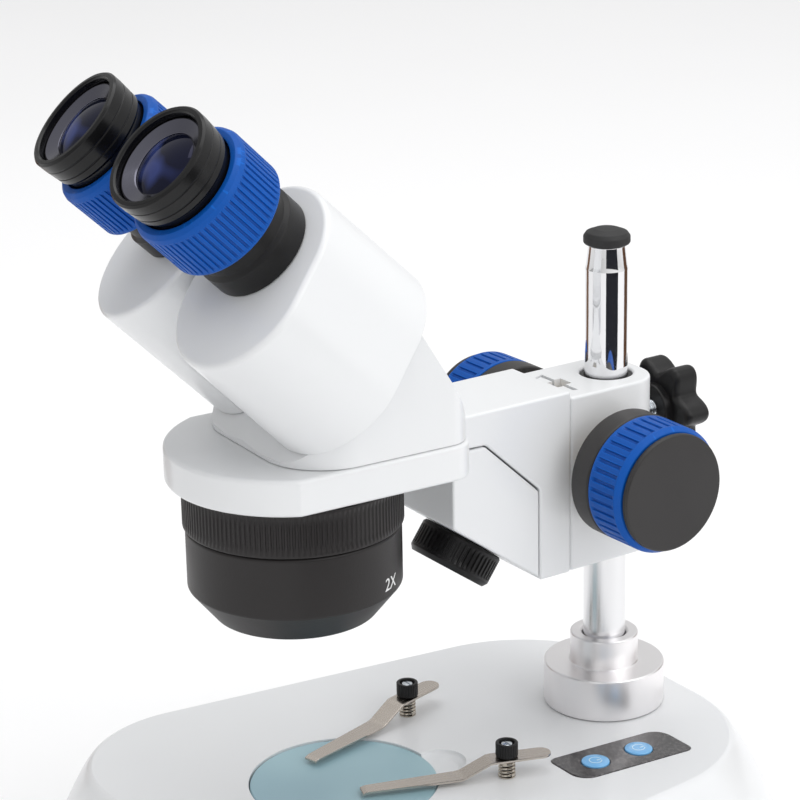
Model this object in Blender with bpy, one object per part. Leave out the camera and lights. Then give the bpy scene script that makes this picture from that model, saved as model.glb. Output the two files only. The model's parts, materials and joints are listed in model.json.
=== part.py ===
"""Stereo microscope on a pillar stand, as separate pieces.

Units are metres, +Z is up, and the lengths below are in millimetres (see MM).
X runs across the instrument, +X being the user's right hand.  The user sits at
-Y and the pillar stands at the rear.  The origin is the middle of the
footprint, on the surface that the rubber feet stand on.
"""

import math

import bmesh
import bpy
from mathutils import Matrix, Vector

MM = 0.001
GAP = 0.3                      # clearance between pieces that touch

# Driving dimensions -----------------------------------------------------------
PILLAR_DIAMETER = 16.0
PILLAR_Y = 80.0                # pillar axis, behind the middle of the footprint
REACH = 137.2                  # pillar axis to the turret axis
BASE_TOP = 48.0                # working surface of the base
BASE_HALF_LENGTH = 132.0       # footprint, front and rear of the origin
STAGE_REACH = 119.5            # pillar axis to the middle of the stage plate
STAGE_DIAMETER = 68.4
TURRET_DIAMETER = 76.9
EYE_TILT = math.radians(44.0)  # eyepiece axes above the horizontal
EYE_SPLAY = math.radians(5.0)  # eyepiece axes, outwards from the middle plane
EYE_HALF_SPACING = 27.0        # eyepiece rims, from the middle plane
LEFT_RISE = 3.8                # left eyepiece and housing face, up their axis
HEAD_TURN = math.radians(-2.5)  # head on its arm, about the turret axis

TURRET_Y = PILLAR_Y - REACH
STAGE_Y = PILLAR_Y - STAGE_REACH
PILLAR_R = PILLAR_DIAMETER / 2
SIDES = ((-1, "left"), (1, "right"))

# Base -------------------------------------------------------------------------
FOOT_HEIGHT = 5.2
SHELL_BOTTOM = 5.0
SHELL_WALL = 3.0
SHELL_ROOF = 6.5
BASE_REAR_TOP = 112.5
BASE_FRONT_TOP = -115.0
BASE_HALF_WIDTH_REAR = 68.5
BASE_HALF_WIDTH_FRONT = 95.5
BASE_REAR_CORNER = 58.0
BASE_FRONT_CORNER = 46.0
# (height, how far the wall stands outside the top outline)
BASE_WALL = ((SHELL_BOTTOM, 17.0), (14.0, 15.4), (27.0, 11.0), (38.0, 5.8),
             (44.0, 2.4), (47.0, 0.2), (BASE_TOP, -1.6))

INLET_X = -40.0
INLET_Y = 121.5
INLET_Z = 22.0
INLET_R = 5.0

# Touch panel for the two lamps --------------------------------------------------
PANEL_FRONT = PILLAR_Y - 50.3
PANEL_REAR = PILLAR_Y - 1.0
PANEL_FRONT_X = 41.0           # middle of its front edge
PANEL_REAR_X = 44.9            # middle of its rear edge
PANEL_HALF_WIDTH = 10.2
PANEL_TIP_RADIUS = 3.0
PANEL_CORNER_RADIUS = 7.0
BUTTONS = (("button_stage_lamp", 42.4, PILLAR_Y - 37.2),
           ("button_top_lamp", 43.5, PILLAR_Y - 17.9))
BUTTON_R = 5.2

# Stage clips ----------------------------------------------------------------------
CLIP_X = 32.0
CLIP_Y = STAGE_Y + 49.7
CLIP_HEIGHT = 7.0              # strip above the base, at its post
CLIP_TURN = {"left": math.radians(14.5), "right": math.radians(20)}
STRIP = 0.9                    # strip thickness

# Focus block, on the pillar ---------------------------------------------------
BLOCK_BOTTOM = BASE_TOP + 65.2
BLOCK_TOP = BASE_TOP + 132.4
BLOCK_HALF_WIDTH = 17.0
BLOCK_FRONT = PILLAR_Y - 29.4
BLOCK_REAR = PILLAR_Y + 14.0
BUSH_OUTER = 9.5
PINION_Y = PILLAR_Y - 14.7
PINION_Z = BASE_TOP + 104.6
PINION_R = 4.0
PINION_TEETH = 12
RACK_PITCH = 2.0
RACK_HALF_WIDTH = 3.0
CLAMP_Z = BASE_TOP + 113.5
CLAMP_KNOB_FRONT = PILLAR_Y + 24.0
CLAMP_KNOB_REAR = PILLAR_Y + 35.5

# Focus knobs, distances out along X --------------------------------------------
KNOB_IN = 28.3
KNOB_GRIP_IN = 38.3
KNOB_GRIP_OUT = 54.8
KNOB_OUT = 57.5
KNOB_R = 23.6
KNOB_CAP_R = 21.7
LEFT_KNOB_EXTRA = 5.0          # the tension collar on the left

# Carriage: arm, lamp and head plate ---------------------------------------------
ARM_HALF_WIDTH = 17.6
ARM_REAR = BLOCK_FRONT - 0.4
ARM_TOP = BASE_TOP + 135.0
PLATE_CENTRE = 0.4             # round front of the plate, behind the turret axis
PLATE_BOTTOM = BASE_TOP + 122.5
PLATE_TOP = BASE_TOP + 135.5
PLATE_R = 44.2
PLATE_HALF_WIDTH = 40.0
PLATE_REAR = TURRET_Y + 51.0
SLAB_FRONT = ARM_REAR - 13.8   # front of the arm's rear slab
LAMP_FRONT = PILLAR_Y - 82.0
LAMP_R = 15.7
LAMP_LENGTH = 12.6

# Turret -------------------------------------------------------------------------
TURRET_TOP = PLATE_BOTTOM - 0.6
GRIP_BOTTOM = BASE_TOP + 105.8
TURRET_EDGE = BASE_TOP + 83.6
TURRET_BOTTOM = BASE_TOP + 72.5
TURRET_R = 37.6
TURRET_NOSE_R = 28.6
SPINDLE_R = 3.8
OBJECTIVE_RADIUS = 15.5        # objective centres, from the turret axis
OBJECTIVE_R = 8.7

# Eyepieces, distances down the axis from the rim ----------------------------------
RIM_Y = TURRET_Y - 59.0
RIM_Z = BASE_TOP + 247.3
FACE_S = 53.0                  # front face of the prism housing
HOUSING_END_S = 106.5
HOUSING_R = 27.0               # at the face
HOUSING_DRAFT = 1.3            # growth of that radius towards the rear end
HOUSING_FACE_ROUND = 2.0
UPPER_CENTRE = (1.8, 1.6)      # (outwards, down the slope) from the eyepiece axis
LOWER_CENTRE = (5.9, 17.1)     # the housing swings about this centre
SWING = math.radians(28.0)     # how far each housing opens outwards

# Wedge under the housings, measured from the turret axis ----------------------------
WEDGE_HALF_WIDTH = 39.3
WEDGE_FRONT = -18.6
WEDGE_REAR = 50.0
WEDGE_FRONT_CORNER = 22.5
WEDGE_REAR_CORNER = 9.0

COLOURS = {                    # base colour, metallic, roughness
    "paint_white": ((0.86, 0.87, 0.87), 0.0, 0.35),
    "black_plastic": ((0.018, 0.018, 0.020), 0.0, 0.42),
    "blue_rubber": ((0.010, 0.055, 0.30), 0.0, 0.55),
    "chrome": ((0.80, 0.80, 0.80), 1.0, 0.08),
    "aluminium": ((0.72, 0.72, 0.73), 1.0, 0.30),
    "steel": ((0.55, 0.54, 0.52), 1.0, 0.30),
    "brass": ((0.70, 0.48, 0.20), 1.0, 0.35),
    "frosted_glass": ((0.36, 0.52, 0.58), 0.0, 0.45),
    "glass": ((0.10, 0.12, 0.20), 0.0, 0.05),
    "panel_grey": ((0.08, 0.08, 0.09), 0.0, 0.30),
    "button_blue": ((0.20, 0.55, 0.80), 0.0, 0.40),
    "rubber": ((0.02, 0.02, 0.02), 0.0, 0.80),
}


def material(name):
    """The named Principled material, made on first use."""
    found = bpy.data.materials.get(name)
    if found:
        return found
    colour, metallic, roughness = COLOURS[name]
    made = bpy.data.materials.new(name)
    made.use_nodes = True
    shader = made.node_tree.nodes["Principled BSDF"]
    shader.inputs["Base Color"].default_value = (*colour, 1.0)
    shader.inputs["Metallic"].default_value = metallic
    shader.inputs["Roughness"].default_value = roughness
    return made


# Mesh helpers: every length that they take is in millimetres --------------------

def add_object(name, bm, finish, matrix=None):
    """Turn a bmesh in millimetres into a placed, smooth-shaded object."""
    bmesh.ops.remove_doubles(bm, verts=bm.verts, dist=1e-5)
    bmesh.ops.recalc_face_normals(bm, faces=bm.faces)
    bmesh.ops.scale(bm, vec=(MM, MM, MM), verts=bm.verts)
    mesh = bpy.data.meshes.new(name)
    bm.to_mesh(mesh)
    bm.free()
    mesh.materials.append(material(finish))
    mesh.shade_smooth()
    mesh.set_sharp_from_angle(angle=math.radians(35))
    thing = bpy.data.objects.new(name, mesh)
    bpy.context.collection.objects.link(thing)
    if matrix is not None:
        thing.matrix_world = scaled(matrix)
    return thing


def scaled(matrix):
    """The same placement with its translation turned from mm into metres."""
    result = matrix.copy()
    result.translation = matrix.translation * MM
    return result


def at(x, y, z):
    return Matrix.Translation((x, y, z))


def along(direction, origin, roll_hint=(1, 0, 0)):
    """Placement whose local Z is direction and whose local X is near roll_hint."""
    z = Vector(direction).normalized()
    x = Vector(roll_hint)
    x = (x - z * x.dot(z)).normalized()
    y = z.cross(x)
    turn = Matrix((x, y, z)).transposed().to_4x4()
    return Matrix.Translation(origin) @ turn


def turned(profile, segments, closed=True):
    """Spin a (radius, height) outline about Z; open outlines end on the axis."""
    bm = bmesh.new()
    verts = [bm.verts.new((r, 0, z)) for r, z in profile]
    edges = [bm.edges.new(pair) for pair in zip(verts, verts[1:])]
    if closed:
        edges.append(bm.edges.new((verts[-1], verts[0])))
    bmesh.ops.spin(bm, geom=verts + edges, cent=(0, 0, 0), axis=(0, 0, 1),
                   dvec=(0, 0, 0), angle=math.tau, steps=segments,
                   use_merge=True, use_duplicate=False)
    bmesh.ops.remove_doubles(bm, verts=bm.verts, dist=1e-5)
    return bm


def prism(outline, bottom, top):
    """Extrude a flat outline between two heights."""
    bm = bmesh.new()
    face = bm.faces.new([bm.verts.new((x, y, bottom)) for x, y in outline])
    grown = bmesh.ops.extrude_face_region(bm, geom=[face])
    moved = [v for v in grown["geom"] if isinstance(v, bmesh.types.BMVert)]
    bmesh.ops.translate(bm, vec=(0, 0, top - bottom), verts=moved)
    return bm


def loft(levels):
    """Skin a stack of outlines, each a list of (x, y, z), and cap both ends."""
    bm = bmesh.new()
    rings = [[bm.verts.new(point) for point in level] for level in levels]
    for low, high in zip(rings, rings[1:]):
        for i in range(len(low)):
            j = (i + 1) % len(low)
            bm.faces.new((low[i], low[j], high[j], high[i]))
    bm.faces.new(list(reversed(rings[0])))
    bm.faces.new(rings[-1])
    return bm


def rounded(corners, radii, steps):
    """Outline of a convex polygon (anticlockwise) with its corners rounded."""
    points = []
    count = len(corners)
    for i, (corner, radius) in enumerate(zip(corners, radii)):
        here = Vector(corner)
        back = (Vector(corners[i - 1]) - here).normalized()
        ahead = (Vector(corners[(i + 1) % count]) - here).normalized()
        half = back.angle(ahead) / 2
        centre = here + (back + ahead).normalized() * radius / math.sin(half)
        start = here + back * radius / math.tan(half) - centre
        sweep = math.pi - 2 * half
        for k in range(steps + 1):
            spoke = start.copy()
            spoke.rotate(Matrix.Rotation(sweep * k / steps, 2))
            points.append(tuple(centre + spoke))
    return points


def box(size, centre):
    bm = bmesh.new()
    bmesh.ops.create_cube(bm, size=1.0)
    bmesh.ops.scale(bm, vec=size, verts=bm.verts)
    bmesh.ops.translate(bm, vec=centre, verts=bm.verts)
    return bm


def cylinder(radius, bottom, top, segments=32):
    return turned([(0, bottom), (radius, bottom), (radius, top), (0, top)],
                  segments, closed=False)


def soften(thing, width, segments=2, angle=40):
    """Round an object's sharp edges."""
    bevel = thing.modifiers.new("soft_edges", "BEVEL")
    bevel.width = width * MM
    bevel.segments = segments
    bevel.limit_method = "ANGLE"
    bevel.angle_limit = math.radians(angle)


def carve(thing, name, bm, matrix=None, operation="DIFFERENCE"):
    """Cut (or join) a hidden tool shape with an object."""
    tool = add_object(name, bm, "steel", matrix)
    tool.hide_render = True
    tool.display_type = "WIRE"
    change = thing.modifiers.new(name, "BOOLEAN")
    change.operation = operation
    change.object = tool
    return tool


def pivot(name, origin, parent=None):
    """An empty on a joint's axis, which the moving pieces hang from."""
    empty = bpy.data.objects.new(name, None)
    empty.location = Vector(origin) * MM
    empty["origin"] = tuple(empty.location)
    empty.empty_display_size = 0.01
    bpy.context.collection.objects.link(empty)
    if parent:
        hang(parent, empty)
    return empty


def hang(parent, *things):
    """Parent objects, and the shapes that cut them, without moving them."""
    for thing in things:
        tools = [change.object for change in thing.modifiers if change.type == "BOOLEAN"]
        for piece in [thing] + tools:
            placed = piece.matrix_basis.copy()
            piece.parent = parent
            piece.matrix_parent_inverse = Matrix.Translation(place_of(parent)).inverted()
            piece.matrix_basis = placed


def place_of(empty):
    """Where an empty sits before any turning of the empties above it."""
    return Vector(empty["origin"])


# Base -------------------------------------------------------------------------

def base_outline(offset):
    """Outline of the base, offset outwards from its top outline."""
    rise = BASE_REAR_TOP - BASE_FRONT_TOP
    slope = (BASE_HALF_WIDTH_FRONT - BASE_HALF_WIDTH_REAR) / rise
    front = BASE_FRONT_TOP - offset * (BASE_HALF_LENGTH + BASE_FRONT_TOP) / BASE_WALL[0][1]
    rear = BASE_REAR_TOP + offset * (BASE_HALF_LENGTH - BASE_REAR_TOP) / BASE_WALL[0][1]
    half_front = BASE_HALF_WIDTH_FRONT + slope * (BASE_FRONT_TOP - front) + offset
    half_rear = BASE_HALF_WIDTH_REAR - slope * (rear - BASE_REAR_TOP) + offset
    corners = [(-half_front, front), (half_front, front), (half_rear, rear),
               (-half_rear, rear)]
    radii = [BASE_FRONT_CORNER + offset] * 2 + [BASE_REAR_CORNER + offset] * 2
    return rounded(corners, radii, 7)


def base_level(height, offset):
    return [(x, y, height) for x, y in base_outline(offset)]


def make_base():
    shell = add_object("base_shell", loft([base_level(*step) for step in BASE_WALL]),
                       "paint_white")
    roof = BASE_TOP - SHELL_ROOF
    inner = [(SHELL_BOTTOM - 1.0, BASE_WALL[0][1] - SHELL_WALL)]
    inner += [(height, offset - SHELL_WALL) for height, offset in BASE_WALL[:4]]
    inner.append((roof, BASE_WALL[4][1] - SHELL_WALL - 1.0))
    carve(shell, "cut_cavity", loft([base_level(*step) for step in inner]))

    stage_r = STAGE_DIAMETER / 2
    seat = [(0, BASE_TOP + 5), (stage_r + 0.4, BASE_TOP + 5),
            (stage_r + 0.4, BASE_TOP - 5.5), (stage_r - 5, BASE_TOP - 5.5),
            (stage_r - 5, roof - 5), (0, roof - 5)]
    carve(shell, "cut_stage_seat", turned(seat, 48, closed=False), at(0, STAGE_Y, 0))
    carve(shell, "cut_finger_notch", cylinder(9.0, -2.6, 4, 24),
          at(8, STAGE_Y + stage_r + 3.0, BASE_TOP))
    carve(shell, "cut_panel_seat", prism(panel_outline(0.3), BASE_TOP - 1.3, BASE_TOP + 5))
    for name, x, y in BUTTONS:
        carve(shell, "cut_shell_" + name, cylinder(BUTTON_R + 0.3, -12, 5, 20),
              at(x, y, BASE_TOP))
    carve(shell, "cut_pillar_bolt", cylinder(4.4, -12, 5, 20), at(0, PILLAR_Y, BASE_TOP))
    for side, tag in SIDES:
        carve(shell, "cut_clip_" + tag, cylinder(2.1, -12, 5, 16),
              at(side * CLIP_X, CLIP_Y, BASE_TOP))
    carve(shell, "cut_inlet", cylinder(INLET_R + 0.3, -12, 12, 20),
          along((0, 1, 0), (INLET_X, INLET_Y, INLET_Z)))

    plate = [(x, y) for x, y in base_outline(BASE_WALL[0][1] - SHELL_WALL - 1.8)]
    add_object("bottom_plate", prism(plate, FOOT_HEIGHT + GAP, FOOT_HEIGHT + GAP + 3.0),
               "panel_grey")
    for side, tag in SIDES:
        for y, x, end in ((-98.0, 80.0, "front"), (100.0, 50.0, "rear")):
            foot = [(0, 0), (7.5, 0), (9.0, 1.5), (9.0, FOOT_HEIGHT), (0, FOOT_HEIGHT)]
            add_object("foot_%s_%s" % (end, tag), turned(foot, 24, closed=False),
                       "rubber", at(side * x, y, 0))

    glass = [(0, -5.2), (stage_r - 0.5, -5.2), (stage_r, -4.7), (stage_r, -0.9),
             (stage_r - 0.5, -0.4), (0, -0.4)]
    add_object("stage_plate", turned(glass, 48, closed=False), "frosted_glass",
               at(0, STAGE_Y, BASE_TOP))
    floor = FOOT_HEIGHT + GAP + 3.0 + GAP
    cup = [(0, floor), (24, floor), (24, floor + 4), (28, 37), (26.4, 37),
           (21, floor + 4), (21, floor + 2), (6, floor + 2), (5, floor + 5), (0, floor + 6)]
    add_object("stage_lamp", turned(cup, 32, closed=False), "paint_white",
               at(0, STAGE_Y, 0))
    pack = add_object("battery_pack", box((34, 62, 18), (-52, 54, floor + 9)),
                      "black_plastic")
    soften(pack, 1.5, 1)
    inlet = [(0, -9), (INLET_R, -9), (INLET_R, 4.5), (2.9, 4.5), (2.9, -4), (0, -4)]
    add_object("power_inlet", turned(inlet, 20, closed=False), "black_plastic",
               along((0, 1, 0), (INLET_X, INLET_Y, INLET_Z)))


# Touch panel ----------------------------------------------------------------------

def panel_outline(offset):
    """Leaning rectangle with two tight corners and two wide ones."""
    half = PANEL_HALF_WIDTH + offset
    front = PANEL_FRONT - offset
    rear = PANEL_REAR + offset
    corners = [(PANEL_FRONT_X - half, front), (PANEL_FRONT_X + half, front),
               (PANEL_REAR_X + half, rear), (PANEL_REAR_X - half, rear)]
    radii = [PANEL_TIP_RADIUS, PANEL_CORNER_RADIUS] * 2
    return rounded(corners, [radius + offset for radius in radii], 4)


def make_panel():
    panel = add_object("control_panel", prism(panel_outline(0), BASE_TOP - 1.0, BASE_TOP + 0.3),
                       "panel_grey")
    for name, x, y in BUTTONS:
        carve(panel, "cut_" + name, cylinder(BUTTON_R + 0.3, -3, 3, 24), at(x, y, BASE_TOP))
        cap = [(0, -6.0), (BUTTON_R, -6.0), (BUTTON_R, 0.5), (BUTTON_R - 0.6, 0.9), (0, 1.0)]
        button = add_object(name, turned(cap, 24, closed=False), "button_blue",
                            at(x, y, BASE_TOP))
        hang(pivot(name + "_slide", (x, y, BASE_TOP)), button)


# Pillar -------------------------------------------------------------------------

def make_pillar():
    foot = BASE_TOP + GAP
    bore = PILLAR_R + GAP
    flange = [(bore, foot), (22.2, foot), (23.0, foot + 0.8), (23.0, foot + 15.6),
              (22.2, foot + 16.4), (13.0, foot + 16.6), (13.0, foot + 27.4),
              (12.2, foot + 28.2), (bore, foot + 28.2)]
    add_object("pillar_flange", turned(flange, 48), "aluminium", at(0, PILLAR_Y, 0))

    top = BASE_TOP + 181.2
    rod = [(4.4, foot), (PILLAR_R, foot), (PILLAR_R, top - 8.0), (6.9, top - 1.2),
           (6.9, top), (5.2, top), (5.2, top - 11.0), (0, top - 11.0)]
    rod = rod + [(0, foot + 24.0), (4.4, foot + 24.0)]
    add_object("pillar", turned(rod, 32), "chrome", at(0, PILLAR_Y, 0))

    rim = top + GAP
    cap = [(0, rim - 9.0), (4.9, rim - 9.0), (4.9, rim), (8.2, rim), (8.65, rim + 0.5),
           (8.65, rim + 3.6), (7.4, rim + 5.2), (4.0, rim + 6.2), (0, rim + 6.5)]
    add_object("pillar_cap", turned(cap, 32, closed=False), "rubber", at(0, PILLAR_Y, 0))

    under = BASE_TOP - SHELL_ROOF - GAP
    bolt = add_object("pillar_bolt", cylinder(7.5, under - 5.5, under, 6),
                      "steel", at(0, PILLAR_Y, 0))
    carve(bolt, "join_bolt_shank", cylinder(4.0, under - 1, foot + 22.0, 16),
          at(0, PILLAR_Y, 0), "UNION")


# Stage clips ----------------------------------------------------------------------

def clip_strip():
    """Bent spring-steel strip along +X from its post, with the post at 0, 0."""
    # (distance from the post, height of the lower face, half-width)
    stations = [(-16.5, 0.0, 1.6), (-15.2, 0.0, 3.2), (-12.6, 0.0, 3.9), (7.0, 0.0, 4.0),
                (17.5, -5.1, 3.9), (52.0, -5.6, 3.0), (54.2, -6.2, 2.8)]
    low = [(x, -w, z) for x, z, w in stations]
    high = [(x, w, z) for x, z, w in stations]
    bm = bmesh.new()
    left = [bm.verts.new(p) for p in low]
    right = [bm.verts.new(p) for p in high]
    faces = []
    for i in range(len(stations) - 1):
        faces.append(bm.faces.new((left[i], left[i + 1], right[i + 1], right[i])))
    grown = bmesh.ops.extrude_face_region(bm, geom=faces)
    moved = [v for v in grown["geom"] if isinstance(v, bmesh.types.BMVert)]
    bmesh.ops.translate(bm, vec=(0, 0, STRIP), verts=moved)
    return bm


def clip_coil(name, origin):
    """Compression spring round a clip's post."""
    turns, per_turn, radius, wire = 4, 12, 2.75, 0.45
    low, high = wire + GAP, CLIP_HEIGHT - wire - 0.4
    curve = bpy.data.curves.new(name, "CURVE")
    curve.dimensions = "3D"
    curve.bevel_depth = wire * MM
    curve.bevel_resolution = 1
    curve.use_fill_caps = True
    line = curve.splines.new("POLY")
    count = turns * per_turn + 1
    line.points.add(count - 1)
    for i in range(count):
        angle = math.tau * i / per_turn
        height = low + (high - low) * i / (count - 1)
        point = (radius * math.cos(angle) * MM, radius * math.sin(angle) * MM, height * MM)
        line.points[i].co = (*point, 1.0)
    curve.materials.append(material("steel"))
    coil = bpy.data.objects.new(name, curve)
    bpy.context.collection.objects.link(coil)
    coil.location = Vector(origin) * MM
    return coil


def make_clips():
    for side, tag in SIDES:
        origin = (side * CLIP_X, CLIP_Y, BASE_TOP)
        heading = -math.pi / 2 - side * CLIP_TURN[tag]
        place = at(origin[0], origin[1], BASE_TOP + CLIP_HEIGHT)
        place = place @ Matrix.Rotation(heading, 4, "Z")
        arm = add_object("clip_arm_" + tag, clip_strip(), "steel", place)
        carve(arm, "cut_clip_arm_" + tag, cylinder(2.35, -3, 4, 16), place)

        head = CLIP_HEIGHT + STRIP + 0.5
        screw = [(0, -8.0), (1.7, -8.0), (1.7, head), (3.9, head), (4.1, head + 0.3),
                 (4.1, head + 4.8), (3.6, head + 5.2), (2.2, head + 5.2),
                 (2.0, head + 4.6), (0, head + 4.6)]
        add_object("clip_screw_" + tag, turned(screw, 24, closed=False),
                   "black_plastic", at(*origin))
        coil = clip_coil("clip_spring_" + tag, origin)
        turn = pivot("clip_turn_" + tag, origin)
        tilt = pivot("clip_tilt_" + tag, (origin[0], origin[1], BASE_TOP + CLIP_HEIGHT), turn)
        hang(turn, coil)
        hang(tilt, arm)


# Focus block ------------------------------------------------------------------------

def dovetail(front, half_front, rear, half_rear):
    return [(-half_front, front), (half_front, front), (half_rear, rear), (-half_rear, rear)]


def make_block():
    corners = [(-BLOCK_HALF_WIDTH, BLOCK_FRONT), (BLOCK_HALF_WIDTH, BLOCK_FRONT),
               (BLOCK_HALF_WIDTH, BLOCK_REAR), (-BLOCK_HALF_WIDTH, BLOCK_REAR)]
    outline = rounded(corners, [1.5, 1.5, 13.0, 13.0], 6)
    block = add_object("focus_block", prism(outline, BLOCK_BOTTOM, BLOCK_TOP), "paint_white")
    carve(block, "cut_pillar_bore", cylinder(BUSH_OUTER + GAP, BLOCK_BOTTOM - 5, BLOCK_TOP + 5, 32),
          at(0, PILLAR_Y, 0))
    slot = dovetail(BLOCK_FRONT - 3, 7.4, BLOCK_FRONT + 8.0, 11.0)
    carve(block, "cut_dovetail", prism(slot, BLOCK_BOTTOM - 5, BLOCK_TOP + 5))
    channel_rear = PINION_Y - PINION_R + 0.1
    channel = dovetail(BLOCK_FRONT - 3, RACK_HALF_WIDTH + 0.4, channel_rear, RACK_HALF_WIDTH + 0.4)
    carve(block, "cut_rack_channel", prism(channel, BLOCK_BOTTOM - 5, BLOCK_TOP + 5))
    across = along((1, 0, 0), (0, PINION_Y, PINION_Z), (0, 1, 0))
    carve(block, "cut_shaft_bore", cylinder(2.9, -30, 30, 16), across)
    carve(block, "cut_pinion_pocket", cylinder(PINION_R + 0.5, -6, 6, 24), across)
    rearward = along((0, 1, 0), (0, PILLAR_Y, CLAMP_Z))
    carve(block, "cut_clamp_hole", cylinder(4.2, BUSH_OUTER - 1, 30, 20), rearward)

    bush = [(PILLAR_R + GAP, BLOCK_BOTTOM + 1), (BUSH_OUTER, BLOCK_BOTTOM + 1),
            (BUSH_OUTER, BLOCK_TOP - 1), (PILLAR_R + GAP, BLOCK_TOP - 1)]
    liner = add_object("pillar_bush", turned(bush, 32), "black_plastic", at(0, PILLAR_Y, 0))
    slide = pivot("height_slide", (0, PILLAR_Y, BLOCK_BOTTOM))
    hang(slide, liner)

    swing = pivot("block_swing", (0, PILLAR_Y, BLOCK_BOTTOM), slide)
    hang(swing, block)
    for side, tag in SIDES:
        end = KNOB_IN - 0.5 + knob_shift(side)
        collar = [(2.8, BLOCK_HALF_WIDTH + GAP), (9.0, BLOCK_HALF_WIDTH + GAP),
                  (9.0, end - 0.5), (8.4, end), (2.8, end)]
        outward = along((side, 0, 0), (0, PINION_Y, PINION_Z), (0, 1, 0))
        hang(swing, add_object("shaft_bush_" + tag, turned(collar, 24), "brass", outward))

    clamp = pivot("clamp_turn", (0, PILLAR_Y, CLAMP_Z), swing)
    stud = [(0, BUSH_OUTER + 0.5), (3.2, BUSH_OUTER + 0.5), (3.9, BUSH_OUTER + 1.3),
            (3.9, 31.0), (0, 31.0)]
    hang(clamp, add_object("clamp_stud", turned(stud, 16, closed=False), "steel", rearward))
    front = CLAMP_KNOB_FRONT - PILLAR_Y
    rear = CLAMP_KNOB_REAR - PILLAR_Y
    knob = add_object("clamp_knob", prism(lobed_outline(16.2, 2.8, 6, 8), front, rear),
                      "black_plastic", rearward)
    carve(knob, "cut_clamp_knob", cylinder(4.2, front - 5, 31.3, 16), rearward)
    boss = [(4.2, front - 3.0), (9.0, front - 3.0), (9.6, front - 2.4), (9.6, front + 1),
            (4.2, front + 1)]
    carve(knob, "join_clamp_boss", turned(boss, 24), rearward, "UNION")
    hang(clamp, knob)
    return swing


def knob_shift(side):
    """How much farther out a side's knob sits than the right one."""
    return LEFT_KNOB_EXTRA if side < 0 else 0.0


def lobed_outline(middle, swing, lobes, per_lobe):
    """Round outline that swings in and out once for each lobe."""
    points = []
    count = lobes * per_lobe
    for i in range(count):
        angle = math.tau * i / count
        radius = middle + swing * math.cos(lobes * angle)
        points.append((radius * math.cos(angle), radius * math.sin(angle)))
    return points


def make_focus_drive(swing):
    across = along((1, 0, 0), (0, PINION_Y, PINION_Z), (0, 1, 0))
    drive = pivot("pinion_turn", (0, PINION_Y, PINION_Z), swing)
    shaft_r, half_teeth, end = 2.5, 5.0, 52.0
    shaft = cylinder(shaft_r, -end - LEFT_KNOB_EXTRA, end, 16)
    shaft = add_object("pinion_shaft", shaft, "steel", across)
    teeth = prism(toothed_outline(PINION_R, 0.7, PINION_TEETH), -half_teeth, half_teeth)
    carve(shaft, "join_pinion_teeth", teeth, across, "UNION")
    hang(drive, shaft)
    for side, tag in SIDES:
        outward = along((side, 0, 0), (side * knob_shift(side), PINION_Y, PINION_Z), (0, 1, 0))
        core = 19.5
        knob = [(shaft_r + GAP, KNOB_IN), (KNOB_R - 0.6, KNOB_IN), (KNOB_R, KNOB_IN + 0.6),
                (KNOB_R, KNOB_GRIP_IN - GAP), (core, KNOB_GRIP_IN - GAP),
                (core, KNOB_GRIP_OUT + GAP), (KNOB_CAP_R, KNOB_GRIP_OUT + GAP),
                (KNOB_CAP_R, KNOB_OUT - 0.8), (KNOB_CAP_R - 1.2, KNOB_OUT),
                (0, KNOB_OUT), (0, end + GAP), (shaft_r + GAP, end + GAP)]
        hub = add_object("focus_knob_" + tag, turned(knob, 40), "black_plastic", outward)
        ring = [(core + GAP, KNOB_GRIP_IN), (KNOB_R, KNOB_GRIP_IN),
                (KNOB_R - 0.3, KNOB_GRIP_OUT - 3.0), (KNOB_CAP_R + 0.4, KNOB_GRIP_OUT),
                (core + GAP, KNOB_GRIP_OUT)]
        grip = add_object("focus_grip_" + tag, turned(ring, 40), "blue_rubber", outward)
        hang(drive, hub, grip)


def toothed_outline(tip, depth, teeth):
    points = []
    for i in range(teeth * 4):
        angle = math.tau * (i + 0.5) / (teeth * 4)
        radius = tip if i % 4 in (0, 1) else tip - depth
        points.append((radius * math.cos(angle), radius * math.sin(angle)))
    return points


# Carriage -------------------------------------------------------------------------

def side_prism(outline, half_width):
    """Extrude a (y, z) outline across X."""
    bm = prism([(y, z) for y, z in outline], -half_width, half_width)
    turn = Matrix(((0, 0, 1, 0), (1, 0, 0, 0), (0, 1, 0, 0), (0, 0, 0, 1)))
    bmesh.ops.transform(bm, matrix=turn, verts=bm.verts)
    return bm


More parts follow.
